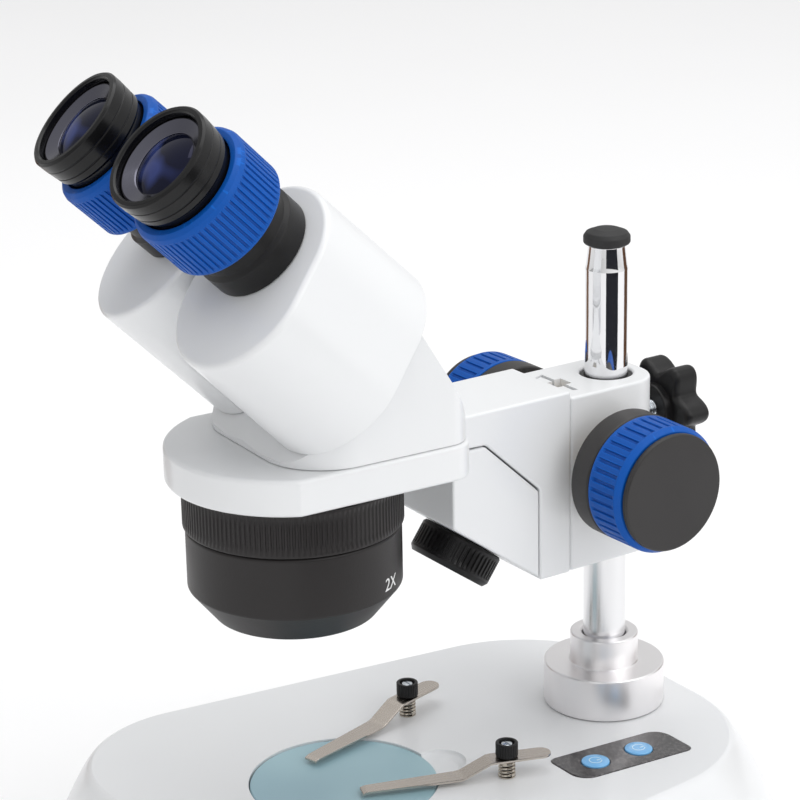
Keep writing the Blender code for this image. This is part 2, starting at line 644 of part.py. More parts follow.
def make_carriage(swing):
    slide = pivot("focus_slide", (0, ARM_REAR, PINION_Z), swing)
    neck_z = PLATE_BOTTOM + 0.9
    neck_front = PLATE_REAR - 3.0
    notch_top = (PILLAR_Y - 67.4, PLATE_BOTTOM - 0.1)
    notch_low = (SLAB_FRONT, BASE_TOP + 100.5)
    outline = [(ARM_REAR, BLOCK_BOTTOM), (ARM_REAR, ARM_TOP), (neck_front, ARM_TOP),
               (neck_front, neck_z), notch_top, notch_low, (SLAB_FRONT, BLOCK_BOTTOM)]
    arm = add_object("focus_arm", side_prism(outline, ARM_HALF_WIDTH), "paint_white")
    tongue = dovetail(ARM_REAR - 1, 7.6, ARM_REAR + 7.4, 10.2)
    carve(arm, "join_tongue", prism(tongue, BLOCK_BOTTOM + 0.5, BLOCK_TOP - 0.5), None, "UNION")
    groove = RACK_HALF_WIDTH + GAP
    carve(arm, "cut_rack_groove",
          box((2 * groove, 8.6, 90), (0, ARM_REAR + 8.0, BLOCK_BOTTOM + 35)))
    around_axis = at(0, TURRET_Y, 0) @ Matrix.Rotation(HEAD_TURN, 4, "Z") @ at(0, -TURRET_Y, 0)
    carve(arm, "cut_plate_seat", prism(plate_outline(-GAP), PLATE_BOTTOM - 5, PLATE_TOP + 5),
          around_axis)

    tip = PINION_Y - PINION_R - GAP
    rack = add_object("rack", side_prism(rack_outline(ARM_REAR + 4.0, tip), RACK_HALF_WIDTH),
                      "brass")

    lamp_top = PLATE_BOTTOM - 0.5
    seat = SLAB_FRONT - 0.4
    cover = [(seat, BLOCK_BOTTOM + 1.0), (seat, notch_low[1] - 0.6),
             (notch_top[0] - 0.4, lamp_top), (LAMP_FRONT, lamp_top),
             (LAMP_FRONT, BASE_TOP + 93.8)]
    housing = add_object("lamp_housing", side_prism(cover, ARM_HALF_WIDTH), "paint_white")
    down = Vector((0, cover[0][1] - cover[-1][1], LAMP_FRONT - seat)).normalized()
    middle = Vector((0, (seat + LAMP_FRONT) / 2 - 2.5, 0))
    share = (middle.y - seat) / (LAMP_FRONT - seat)
    middle.z = cover[0][1] + share * (cover[-1][1] - cover[0][1])
    aim = along(down, middle)
    carve(housing, "cut_lamp_seat", cylinder(11.0, -10, 6, 24), aim)
    hang(slide, arm, rack, housing)

    shade = [(12.2, GAP), (LAMP_R, GAP), (LAMP_R, LAMP_LENGTH - 1.6),
             (LAMP_R - 1.4, LAMP_LENGTH), (13.4, LAMP_LENGTH), (12.2, LAMP_LENGTH - 2.0)]
    barrel = add_object("lamp_barrel", turned(shade, 40), "black_plastic", aim)
    lens = [(0, 3.0), (11.8, 3.0), (11.8, 7.0), (7.0, 8.6), (0, 9.2)]
    lens = add_object("lamp_lens", turned(lens, 32, closed=False), "glass", aim)
    hang(pivot("lamp_turn", middle, slide), barrel, lens)
    return slide


def make_head_plate(slide):
    """Plate that everything under and over the head is carried by."""
    head = pivot("head", (0, TURRET_Y, PLATE_BOTTOM), slide)
    head.rotation_euler.z = HEAD_TURN
    plate = add_object("head_plate", prism(plate_outline(0), PLATE_BOTTOM, PLATE_TOP),
                       "paint_white")
    for side, tag in SIDES:
        carve(plate, "cut_light_path_" + tag, cylinder(10.5, -20, 20, 32),
              at(side * OBJECTIVE_RADIUS, TURRET_Y, PLATE_BOTTOM))
    carve(plate, "join_pivot", cylinder(SPINDLE_R, -44, 12, 20), at(0, TURRET_Y, PLATE_BOTTOM),
          "UNION")
    hang(head, plate, make_head_body())
    return head


def rack_outline(back, tip):
    """Straight rack, teeth towards +Y."""
    depth, count = 0.8, 27
    low = BLOCK_BOTTOM + 8.0
    top = low + RACK_PITCH * count
    points = [(back, top), (back, low)]
    for i in range(count):
        z = low + RACK_PITCH * i
        points += [(tip - depth, z), (tip - depth, z + 0.9), (tip, z + 1.2), (tip, z + 1.8)]
    points.append((tip - depth, top))
    return points


def plate_outline(inset):
    """Round front about the turret axis, straight sides, rounded rear corners."""
    radius = PLATE_R - inset
    half = PLATE_HALF_WIDTH - inset
    start = math.acos(half / radius)
    points = []
    steps = 20
    for i in range(steps + 1):
        angle = -start - (math.pi - 2 * start) * i / steps
        points.append((radius * math.cos(angle),
                       TURRET_Y + PLATE_CENTRE + radius * math.sin(angle)))
    points.reverse()
    corner = 9.0
    rear = PLATE_REAR - inset
    for x_sign, first in ((1, 0.0), (-1, math.pi / 2)):
        for i in range(6):
            angle = first + math.pi / 2 * i / 5
            points.append((x_sign * (half - corner) + corner * math.cos(angle),
                           rear - corner + corner * math.sin(angle)))
    return points


def slope_cutter(side, low, high):
    """Everything above one prism housing's seat, down to a level shelf."""
    normal = eye_direction(side)
    seat = eye_point(side, HOUSING_END_S + GAP)
    levels = []
    for x in (-70.0, 70.0):
        edge = []
        for z in (low, high):
            drop = normal.x * (x - seat.x) + normal.z * (z - seat.z)
            edge.append((x, seat.y - drop / normal.y, z))
        front = TURRET_Y - 60.0
        levels.append([(x, front, low), edge[0], edge[1], (x, front, high)])
    return loft(levels)


def wedge_outline():
    front, rear = TURRET_Y + WEDGE_FRONT, TURRET_Y + WEDGE_REAR
    corners = [(-WEDGE_HALF_WIDTH, front), (WEDGE_HALF_WIDTH, front),
               (WEDGE_HALF_WIDTH, rear), (-WEDGE_HALF_WIDTH, rear)]
    radii = [WEDGE_FRONT_CORNER] * 2 + [WEDGE_REAR_CORNER] * 2
    return rounded(corners, radii, 7)


def make_head_body():
    """Wedge that carries the prism housings on its sloping face."""
    low = PLATE_TOP + GAP
    body = add_object("head_body", prism(wedge_outline(), low, low + 60), "paint_white")
    for side, tag in SIDES:
        carve(body, "cut_slope_" + tag, slope_cutter(side, low + 1.0, low + 90.0))
    # (behind the turret axis, above the wedge's underside)
    slope = ((WEDGE_REAR + 40, 0.5), (WEDGE_REAR, 0.5), (48.6, 7.4), (45.6, 14.1), (41.0, 22.0),
             (26.0, 46.1), (0.0, 88.0), (WEDGE_REAR + 40, 88.0))
    back = [(TURRET_Y + y, low + z) for y, z in slope]
    carve(body, "cut_back", side_prism(back, 60))
    for side, tag in SIDES:
        start = Vector((side * OBJECTIVE_RADIUS, TURRET_Y, low))
        rise = eye_point(side, HOUSING_END_S, *LOWER_CENTRE) - start
        carve(body, "cut_light_well_" + tag, cylinder(10.5, -10, rise.length + 12, 32),
              along(rise, start))
    return body


# Turret -----------------------------------------------------------------------------

def make_turret(head):
    spin = pivot("turret_turn", (0, TURRET_Y, TURRET_TOP), head)
    place = at(0, TURRET_Y, 0)
    neck, wall, floor = 34.0, 3.0, 5.0
    low = TURRET_BOTTOM
    bore = SPINDLE_R + GAP
    cup = [(bore, low), (TURRET_NOSE_R, low), (TURRET_R, TURRET_EDGE),
           (TURRET_R, GRIP_BOTTOM - GAP), (neck, GRIP_BOTTOM - GAP), (neck, TURRET_TOP),
           (neck - wall, TURRET_TOP), (neck - wall, TURRET_EDGE + 2),
           (TURRET_NOSE_R - 2, low + floor), (6.2, low + floor), (6.2, TURRET_TOP - 4),
           (bore, TURRET_TOP - 4)]
    body = add_object("turret_body", turned(cup, 40), "black_plastic", place)
    ring = [(neck + GAP, GRIP_BOTTOM), (TURRET_DIAMETER / 2 - 0.6, GRIP_BOTTOM),
            (TURRET_DIAMETER / 2, GRIP_BOTTOM + 0.6), (TURRET_DIAMETER / 2, TURRET_TOP - 0.6),
            (TURRET_DIAMETER / 2 - 0.6, TURRET_TOP), (neck + GAP, TURRET_TOP)]
    grip = add_object("turret_grip", turned(ring, 48), "black_plastic", place)
    names = ("objective_low_right", "objective_high_rear", "objective_low_left",
             "objective_high_front")
    for i, name in enumerate(names):
        angle = math.pi / 2 * i
        centre = (OBJECTIVE_RADIUS * math.cos(angle),
                  TURRET_Y + OBJECTIVE_RADIUS * math.sin(angle), low)
        hole, seat = OBJECTIVE_R - 1.0, OBJECTIVE_R + GAP
        step = [(0, -2), (hole, -2), (hole, 1.6), (seat, 1.6), (seat, 9), (0, 9)]
        carve(body, "cut_" + name, turned(step, 22, closed=False), at(*centre))
        lens = [(0, 2.0), (OBJECTIVE_R - 2, 1.95), (OBJECTIVE_R, 2.6), (OBJECTIVE_R, 6.0),
                (OBJECTIVE_R - 3, 7.4), (0, 8.0)]
        hang(spin, add_object(name, turned(lens, 20, closed=False), "glass", at(*centre)))
    hang(spin, body, grip)


# Binocular head: one prism housing and eyepiece on each side ---------------------------

def eye_direction(side):
    """Unit vector up the eyepiece axis, towards the user's eye."""
    level = math.cos(EYE_SPLAY)
    return Vector((side * math.sin(EYE_SPLAY), -level * math.cos(EYE_TILT),
                   level * math.sin(EYE_TILT)))


def eye_point(side, distance, outward=0.0, downward=0.0):
    """Point at a distance down the axis from the rim, then across the housing."""
    axis = eye_direction(side)
    across = Vector((side, 0, 0))
    across = (across - axis * across.dot(axis)).normalized()
    down = axis.cross(across) * side
    if down.z > 0:
        down.negate()
    start = Vector((side * EYE_HALF_SPACING, RIM_Y, RIM_Z))
    return start - axis * distance + across * outward + down * downward


def housing_outline(grow):
    """Stadium round the eyepiece axis and the swing centre, in local x and y."""
    upper = Vector((UPPER_CENTRE[0], -UPPER_CENTRE[1]))
    lower = Vector((LOWER_CENTRE[0], -LOWER_CENTRE[1]))
    radius = HOUSING_R + grow
    lean = (lower - upper).angle_signed(Vector((0, -1)))
    points = []
    steps = 14
    for centre, first in ((upper, 0.0), (lower, math.pi)):
        for i in range(steps + 1):
            angle = first + lean + math.pi * i / steps
            points.append((centre.x + radius * math.cos(angle),
                           centre.y + radius * math.sin(angle)))
    return points


def clipped(outline, normal, limit):
    """The part of a convex outline whose points have normal . point below a limit."""
    kept = []
    for here, there in zip(outline, outline[1:] + outline[:1]):
        here, there = Vector(here), Vector(there)
        spare = limit - here.dot(Vector(normal))
        spare_there = limit - there.dot(Vector(normal))
        if spare >= 0:
            kept.append(tuple(here))
        if spare * spare_there < 0:
            kept.append(tuple(here.lerp(there, spare / (spare - spare_there))))
    return kept


def mirrored(outline, side):
    """An outline drawn for the right side, turned over for the left."""
    if side > 0:
        return outline
    return [(-x, y) for x, y in reversed(outline)]


def housing_mesh(side, depth):
    """Housing that grows towards its rear end and is rounded at its face."""
    steps = 3
    levels = [(-depth, HOUSING_DRAFT)]
    for k in range(steps + 1):
        angle = math.pi / 2 * k / steps
        levels.append((HOUSING_FACE_ROUND * (math.sin(angle) - 1),
                       HOUSING_FACE_ROUND * (math.cos(angle) - 1)))
    return loft([[(x, y, height) for x, y in mirrored(housing_outline(grow), side)]
                 for height, grow in levels])


def room_outline():
    """Hollow of a housing, kept off the flats between the housings."""
    wall, inner_limit, swing_limit = 3.0, 14.0, 19.8
    lower = Vector((LOWER_CENTRE[0], -LOWER_CENTRE[1]))
    turned_flat = Vector((-math.cos(SWING), -math.sin(SWING)))
    outline = clipped(housing_outline(-wall), (-1, 0), inner_limit)
    return clipped(outline, turned_flat, swing_limit + turned_flat.dot(lower))


def make_eyes(head):
    for side, tag in SIDES:
        rise = LEFT_RISE if side < 0 else 0.0
        axis = eye_direction(side)
        swing_at = eye_point(side, FACE_S - rise, *LOWER_CENTRE)
        swing = pivot("prism_swing_" + tag, swing_at, head)
        # local Z looks up the axis, so depth grows along -Z
        face = along(axis, eye_point(side, FACE_S - rise), (1, 0, 0))
        depth = HOUSING_END_S - FACE_S + rise
        shell = add_object("prism_housing_" + tag, housing_mesh(side, depth), "paint_white",
                           face)
        room_end = -depth + 3.0
        carve(shell, "cut_prism_room_" + tag,
              prism(mirrored(room_outline(), side), room_end, -3), face)
        port = (side * LOWER_CENTRE[0], -LOWER_CENTRE[1], 0)
        carve(shell, "cut_port_" + tag, cylinder(14, -depth - 4, room_end + 1, 24),
              face @ Matrix.Translation(port))
        carve(shell, "cut_exit_" + tag, cylinder(12, -5, 5, 24), face)
        # flats that keep the housings apart while closed, half open and fully open
        middle = at(side * (0.7 - 30), TURRET_Y, RIM_Z - 50)
        for name, share in (("closed", 0.0), ("half", 0.5), ("open", 1.0)):
            turn = Matrix.Rotation(side * SWING * share, 4, axis)
            place = at(*swing_at) @ turn @ at(*-swing_at) @ middle
            carve(shell, "cut_%s_%s" % (name, tag), box((60, 200, 200), (0, 0, 0)), place)

        corners = [(-8, -30), (20, -30), (22, 6), (-9, 6)]
        block = prism(mirrored(rounded(corners, [2.0] * 4, 1), side), room_end + 5, -9)
        glass = add_object("prism_block_" + tag, block, "glass", face)

        rim = along(axis, eye_point(side, -rise), (1, 0, 0))
        seat = -(FACE_S - GAP)
        tube = [(15.3, seat), (18.7, seat), (18.7, -44.2), (17.9, -43.2), (17.3, -43.0),
                (17.3, -20.0), (15.3, -20.0)]
        sleeve = add_object("eyepiece_tube_" + tag, turned(tube, 32), "black_plastic", rim)
        hang(swing, shell, glass, sleeve)

        barrel = [(11.0, -43.0), (15.0, -43.0), (15.0, -17.0), (17.4, -17.0), (17.6, -12.0),
                  (18.5, -10.6), (19.2, -3.5), (19.2, -0.8), (18.4, 0), (15.6, 0),
                  (15.0, -1.6), (15.0, -8.0), (11.0, -8.0)]
        cup = add_object("eyepiece_barrel_" + tag, turned(barrel, 32), "black_plastic", rim)
        lens = [(0, -7.6), (14.7, -7.6), (14.7, -4.4), (10.0, -2.9), (0, -2.1)]
        lens = add_object("eye_lens_" + tag, turned(lens, 32, closed=False), "glass", rim)
        ring = [(18.0, -14.0), (17.8, -17.0), (17.7, -35.4), (21.4, -35.4), (21.9, -34.8),
                (22.0, -17.4), (21.4, -15.4), (20.2, -14.0)]
        grip = add_object("eyepiece_grip_" + tag, turned(ring, 40), "blue_rubber", rim)
        travel = pivot("eyepiece_travel_" + tag, eye_point(side, -rise), swing)
        turn = pivot("grip_turn_" + tag, eye_point(side, 24 - rise), travel)
        hang(travel, cup, lens)
        hang(turn, grip)


def main():
    for thing in list(bpy.data.objects):
        bpy.data.objects.remove(thing, do_unlink=True)
    make_base()
    make_panel()
    make_pillar()
    make_clips()
    swing = make_block()
    make_focus_drive(swing)
    head = make_head_plate(make_carriage(swing))
    make_turret(head)
    make_eyes(head)


main()
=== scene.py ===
import json
import math

import bmesh
import bpy
from mathutils import Matrix, Vector


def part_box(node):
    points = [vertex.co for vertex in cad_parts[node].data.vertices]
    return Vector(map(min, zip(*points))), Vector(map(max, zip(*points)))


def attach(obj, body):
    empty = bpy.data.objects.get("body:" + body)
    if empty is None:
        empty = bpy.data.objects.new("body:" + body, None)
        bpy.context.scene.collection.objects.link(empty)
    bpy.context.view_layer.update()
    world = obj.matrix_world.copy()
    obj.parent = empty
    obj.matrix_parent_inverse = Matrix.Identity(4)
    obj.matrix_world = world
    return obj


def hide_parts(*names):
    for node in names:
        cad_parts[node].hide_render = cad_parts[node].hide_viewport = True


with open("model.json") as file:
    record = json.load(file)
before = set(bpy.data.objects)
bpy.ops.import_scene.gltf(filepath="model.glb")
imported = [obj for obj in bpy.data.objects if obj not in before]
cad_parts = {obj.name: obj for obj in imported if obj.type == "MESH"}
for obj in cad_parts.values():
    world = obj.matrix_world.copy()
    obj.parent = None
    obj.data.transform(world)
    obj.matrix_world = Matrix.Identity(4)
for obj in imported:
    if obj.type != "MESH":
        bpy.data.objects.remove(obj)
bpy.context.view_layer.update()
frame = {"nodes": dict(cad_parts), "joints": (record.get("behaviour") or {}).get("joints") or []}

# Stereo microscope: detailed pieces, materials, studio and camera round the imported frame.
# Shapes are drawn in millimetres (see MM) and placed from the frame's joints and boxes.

MM = 0.001
JOINTS = {joint["name"]: joint for joint in frame["joints"]}
SIDES = ((-1, "left"), (1, "right"))
TAGS = ("left", "right")
GAP = 0.3                      # clearance between pieces that touch


def box_of(node):
    """A node's lowest and highest corner, in millimetres."""
    low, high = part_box(node)
    return low / MM, high / MM


def middle_of(node):
    low, high = box_of(node)
    return (low + high) / 2


def joint_point(name):
    return Vector(JOINTS[name]["pos_m"]) / MM


def joint_axis(name):
    return Vector(JOINTS[name]["axis"]).normalized()


# Places taken from the frame ------------------------------
PILLAR = joint_point("block_swing").xy
BASE_TOP = box_of("pillar_flange")[0].z - GAP
TURRET = joint_point("turret_turn")
TURRET_LOW = box_of("turret_body")[0].z
PINION = joint_point("focus_knob_turn")
CLAMP = joint_point("clamp_turn")
STAGE = middle_of("stage_plate")
PLATE_THICKNESS = 13.0
PLATE_BOTTOM = box_of("head_plate")[1].z - PLATE_THICKNESS
BLOCK_LOW, BLOCK_HIGH = box_of("focus_block")
ARM_LOW, ARM_HIGH = box_of("focus_arm")
BLOCK_FRONT = BLOCK_LOW.y
ARM_REAR = BLOCK_FRONT - 0.4
EYE_SUM = joint_axis("prism_swing_left") + joint_axis("prism_swing_right")
HEAD_TURN = math.atan2(EYE_SUM.x, -EYE_SUM.y)
HEAD = Matrix.Translation((0, TURRET.y, 0)) @ Matrix.Rotation(HEAD_TURN, 4, "Z")

# Sizes repeated from the CAD ------------------------------
SHELL_BOTTOM = 5.0
SHELL_WALL = 3.0
SHELL_ROOF = 6.5
BASE_HALF_LENGTH = 132.0
BASE_REAR_TOP = 112.5
BASE_FRONT_TOP = -115.0
BASE_HALF_WIDTH_REAR = 68.5
BASE_HALF_WIDTH_FRONT = 95.5
BASE_REAR_CORNER = 58.0
BASE_FRONT_CORNER = 46.0
SKIRT_REACH = 16.5             # the finer outline stays inside the CAD's
# (height, how far the wall stands outside the top outline)
BASE_WALL = ((SHELL_BOTTOM, 17.0), (14.0, 15.4), (27.0, 11.0), (38.0, 5.8),
             (44.0, 2.4), (47.0, 0.2), (BASE_TOP, -1.6))
STAGE_R = 34.2
PANEL_FRONT = 29.7
PANEL_REAR = 79.0
PANEL_FRONT_X = 41.0
PANEL_REAR_X = 44.9
PANEL_HALF_WIDTH = 10.2
BUTTON_R = 5.2
CLIP_HEIGHT = 7.0
STRIP = 0.9
PLATE_R = 44.2
PLATE_CENTRE = 0.4
PLATE_HALF_WIDTH = 40.0
PLATE_REAR = 51.0
WEDGE_HALF_WIDTH = 39.3
WEDGE_FRONT = -18.6
WEDGE_REAR = 50.0
FACE_S = 53.0                  # housing face, down the axis from the eyepiece rim
RING_S = 24.0                  # the ring joint's point, on the same axis
HOUSING_END_S = {"left": 110.3, "right": 106.5}
HOUSING_R = 27.0
HOUSING_DRAFT = 1.3
UPPER_CENTRE = Vector((1.8, -1.6))
LOWER_CENTRE = Vector((5.9, -17.1))
SWING = math.radians(28.0)
KNOB_R = 23.6
KNOB_CAP_R = 21.7
OBJECTIVE_RADIUS = 15.5
LIGHT_PATH_R = 10.5            # holes for the light in the head plate and the wedge
FLAT_OUT = 0.7                 # from the middle to the flats between the housings


# Mesh helpers ---------------------------------------------

def at(x, y, z):
    return Matrix.Translation((x, y, z))


def along(direction, origin, roll_hint=(1, 0, 0)):
    """Placement whose local Z is direction and whose local X is near roll_hint."""
    z = Vector(direction).normalized()
    x = Vector(roll_hint)
    x = (x - z * x.dot(z)).normalized()
    turn = Matrix((x, z.cross(x), z)).transposed().to_4x4()
    return Matrix.Translation(origin) @ turn


def mesh_object(name, bm, place=None, sharp=32):
    """Turn a bmesh in millimetres into a placed, smooth-shaded object in metres."""
    bmesh.ops.remove_doubles(bm, verts=bm.verts, dist=1e-4)
    bmesh.ops.recalc_face_normals(bm, faces=bm.faces)
    bmesh.ops.scale(bm, vec=(MM, MM, MM), verts=bm.verts)
    mesh = bpy.data.meshes.new(name)
    bm.to_mesh(mesh)
    bm.free()
    mesh.shade_smooth()
    mesh.set_sharp_from_angle(angle=math.radians(sharp))
    thing = bpy.data.objects.new(name, mesh)
    bpy.context.scene.collection.objects.link(thing)
    if place is not None:
        thing.matrix_world = placed_in_metres(place)
    return thing


def placed_in_metres(place):
    result = place.copy()
    result.translation = place.translation * MM
    return result


NEARLY_STRAIGHT = math.radians(172)


def arc(centre, first, sweep, steps):
    """Points along an arc about centre, from centre + first."""
    points = []
    for k in range(steps + 1):
        spoke = first.copy()
        spoke.rotate(Matrix.Rotation(sweep * k / steps, 2))
        points.append(tuple(centre + spoke))
    return points


def eased(points, radius, steps=4, closed=False):
    """A polyline whose corners are rounded off with short arcs."""
    points = [Vector(p) for p in points]
    count = len(points)
    result = []
    for i, here in enumerate(points):
        if not closed and i in (0, count - 1):
            result.append(tuple(here))
            continue
        back = points[i - 1] - here
        ahead = points[(i + 1) % count] - here
        bend = back.angle(ahead)
        if bend > NEARLY_STRAIGHT:
            result.append(tuple(here))
            continue
        reach = min(radius / math.tan(bend / 2), back.length * 0.45, ahead.length * 0.45)
        arc_radius = reach * math.tan(bend / 2)
        start = here + back.normalized() * reach
        end = here + ahead.normalized() * reach
        middle = here + (back.normalized() + ahead.normalized()).normalized() * (
            arc_radius / math.sin(bend / 2))
        first, last = start - middle, end - middle
        sweep = math.atan2(first.x * last.y - first.y * last.x, first.dot(last))
        result += arc(middle, first, sweep, steps)
    return result


def lathe(profile, segments=96, wave=None, closed=False):
    """Spin (radius, height) points about Z; wave(angle, radius, height) moves the radius."""
    bm = bmesh.new()
    rings = []
    for radius, height in profile:
        if radius < 1e-6:
            rings.append([bm.verts.new((0, 0, height))])
            continue
        ring = []
        for i in range(segments):
            angle = math.tau * i / segments
            out = radius if wave is None else wave(angle, radius, height)
            ring.append(bm.verts.new((out * math.cos(angle), out * math.sin(angle), height)))
        rings.append(ring)
    pairs = list(zip(rings, rings[1:]))
    if closed:
        pairs.append((rings[-1], rings[0]))
    for low, high in pairs:
        bridge(bm, low, high)
    return bm


def bridge(bm, low, high):
    """Join two rings of points, either of which may be a single point."""
    count = max(len(low), len(high))
    for i in range(count):
        j = (i + 1) % count
        corners = [low[i % len(low)], low[j % len(low)], high[j % len(high)],
                   high[i % len(high)]]
        corners = list(dict.fromkeys(corners))
        if len(corners) > 2:
            bm.faces.new(corners)


def loft(levels):
    """Skin a stack of outlines, each a list of (x, y, z), and cap both ends."""
    bm = bmesh.new()
    rings = [[bm.verts.new(point) for point in level] for level in levels]
    for low, high in zip(rings, rings[1:]):
        bridge(bm, low, high)
    bm.faces.new(list(reversed(rings[0])))
    bm.faces.new(rings[-1])
    return bm


def slab(outline, bottom, top, edge=0.0, steps=4):
    """Upright prism; outline(inset) gives its outline, and edge rounds it top and bottom."""
    if edge == 0.0:
        return loft([[(x, y, z) for x, y in outline(0.0)] for z in (bottom, top)])
    levels = []
    for k in range(steps + 1):
        angle = math.pi / 2 * k / steps
        levels.append((bottom + edge * (1 - math.cos(angle)), edge * (1 - math.sin(angle))))
    levels += [(top + bottom - z, inset) for z, inset in reversed(levels)]
    return loft([[(x, y, z) for x, y in outline(inset)] for z, inset in levels])


def rounded(corners, radii, steps):
    """Outline of a convex polygon (anticlockwise) with its corners rounded."""
    points = []
    count = len(corners)
    for i, (corner, radius) in enumerate(zip(corners, radii)):
        here = Vector(corner)
        back = (Vector(corners[i - 1]) - here).normalized()
        ahead = (Vector(corners[(i + 1) % count]) - here).normalized()
        half = back.angle(ahead) / 2
        centre = here + (back + ahead).normalized() * radius / math.sin(half)
        start = here + back * radius / math.tan(half) - centre
        points += arc(centre, start, math.pi - 2 * half, steps)
    return points


def side_prism(outline, half_width):
    """Extrude a (y, z) outline across X."""
    return loft([[(x, y, z) for y, z in outline] for x in (-half_width, half_width)])


def block_mesh(size, centre=(0, 0, 0)):
    bm = bmesh.new()
    bmesh.ops.create_cube(bm, size=1.0)
    bmesh.ops.scale(bm, vec=size, verts=bm.verts)
    bmesh.ops.translate(bm, vec=centre, verts=bm.verts)
    return bm


def rod(radius, bottom, top, segments=48):
    return lathe([(0, bottom), (radius, bottom), (radius, top), (0, top)], segments)


def cut(thing, bm, place=None, operation="DIFFERENCE"):
    """Cut (or join) a tool shape at once."""
    cut_with(thing, mesh_object("tool", bm, place), operation)


def cut_with(thing, tool, operation="DIFFERENCE"):
    """Cut (or join) with a tool object, which is used up."""
    change = thing.modifiers.new("cut", "BOOLEAN")
    change.operation = operation
    change.solver = "EXACT"
    change.object = tool
    bake(thing)
    bpy.data.objects.remove(tool, do_unlink=True)


def bake(thing):
    """Replace an object's mesh with its modified one."""
    bpy.context.view_layer.update()
    made = bpy.data.meshes.new_from_object(
        thing.evaluated_get(bpy.context.evaluated_depsgraph_get()))
    thing.modifiers.clear()
    thing.data = made


def soften(thing, width, segments=3, angle=38):
    """Round the sharp edges."""
    bevel = thing.modifiers.new("edges", "BEVEL")
    bevel.width = width * MM
    bevel.segments = segments
    bevel.limit_method = "ANGLE"
    bevel.angle_limit = math.radians(angle)
    bevel.miter_outer = "MITER_ARC"
    bake(thing)


def settle(thing, finish, body, *nodes):
    """Give a piece its material and slot, its body, and the CAD nodes it stands for."""
    thing.data.shade_smooth()
    thing.data.set_sharp_from_angle(angle=math.radians(34))
    even = thing.modifiers.new("shading", "WEIGHTED_NORMAL")
    even.keep_sharp = True
    bake(thing)
    thing.data.materials.clear()
    thing.data.materials.append(FINISHES[finish])
    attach(thing, body)
    if nodes:
        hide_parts(*nodes)
    return thing


def turned(name, profile, place, finish, body, *nodes, segments=96, wave=None, closed=False):
    """A finished piece spun from (radius, height) points."""
    piece = mesh_object(name, lathe(profile, segments, wave, closed), place)
    return settle(piece, finish, body, *nodes)


# Materials ------------------------------------------------

def new_material(name, colour, metallic, roughness, **sockets):
    """A Principled material, with its node tree, shader and object coordinates."""
    made = bpy.data.materials.new(name)
    made.use_nodes = True
    tree = made.node_tree
    shader = tree.nodes["Principled BSDF"]
    shader.inputs["Base Color"].default_value = (*colour, 1.0)
    shader.inputs["Metallic"].default_value = metallic
    shader.inputs["Roughness"].default_value = roughness
    for socket, value in sockets.items():
        shader.inputs[socket.replace("_", " ")].default_value = value
    place = tree.nodes.new("ShaderNodeTexCoord").outputs["Object"]
    return made, tree, shader, place


def noise(tree, place, scale, detail=3.0, stretch=None):
    """Noise in object space, in lumps per metre; stretch squeezes it along the axes."""
    if stretch is not None:
        squeeze = tree.nodes.new("ShaderNodeMapping")
        squeeze.inputs["Scale"].default_value = stretch
        tree.links.new(place, squeeze.inputs["Vector"])
        place = squeeze.outputs["Vector"]
    made = tree.nodes.new("ShaderNodeTexNoise")
    made.inputs["Scale"].default_value = scale
    made.inputs["Detail"].default_value = detail
    tree.links.new(place, made.inputs["Vector"])
    return made.outputs["Fac"]


def around(tree, place):
    """Coordinates that are constant round the object's Z axis: radius and height."""
    split = tree.nodes.new("ShaderNodeSeparateXYZ")
    tree.links.new(place, split.inputs["Vector"])
    flat = tree.nodes.new("ShaderNodeCombineXYZ")
    tree.links.new(split.outputs["X"], flat.inputs["X"])
    tree.links.new(split.outputs["Y"], flat.inputs["Y"])
    length = tree.nodes.new("ShaderNodeVectorMath")
    length.operation = "LENGTH"
    tree.links.new(flat.outputs["Vector"], length.inputs[0])
    joined = tree.nodes.new("ShaderNodeCombineXYZ")
    tree.links.new(length.outputs["Value"], joined.inputs["X"])
    tree.links.new(split.outputs["Z"], joined.inputs["Z"])
    return joined.outputs["Vector"]


def ramped(tree, value, low, high, out_low, out_high):
    spread = tree.nodes.new("ShaderNodeMapRange")
    for socket, number in (("From Min", low), ("From Max", high), ("To Min", out_low),
                           ("To Max", out_high)):
        spread.inputs[socket].default_value = number
    tree.links.new(value, spread.inputs["Value"])
    return spread.outputs["Result"]


def tinted(tree, shader, factor, first, second):
    """Base colour that goes from the first colour to the second with a factor."""
    mix = tree.nodes.new("ShaderNodeMix")
    mix.data_type = "RGBA"
    mix.inputs["A"].default_value = (*first, 1.0)
    mix.inputs["B"].default_value = (*second, 1.0)
    tree.links.new(factor, mix.inputs["Factor"])
    tree.links.new(mix.outputs["Result"], shader.inputs["Base Color"])


def glossed(tree, shader, value, low, high, first, last):
    """Roughness that goes from first to last as a value goes from low to high."""
    tree.links.new(ramped(tree, value, low, high, first, last), shader.inputs["Roughness"])


def relief(tree, shader, height, distance):
    """Bump a shader's normal by a height, over a distance in millimetres."""
    bump = tree.nodes.new("ShaderNodeBump")
    bump.inputs["Distance"].default_value = distance * MM
    bump.inputs["Strength"].default_value = 1.0
    tree.links.new(height, bump.inputs["Height"])
    tree.links.new(bump.outputs["Normal"], shader.inputs["Normal"])


def ridge_factor(tree, low, high):
    """0 in the hollows of a mesh and 1 on its ridges."""
    shape = tree.nodes.new("ShaderNodeNewGeometry")
    return ramped(tree, shape.outputs["Pointiness"], low, high, 0.0, 1.0)


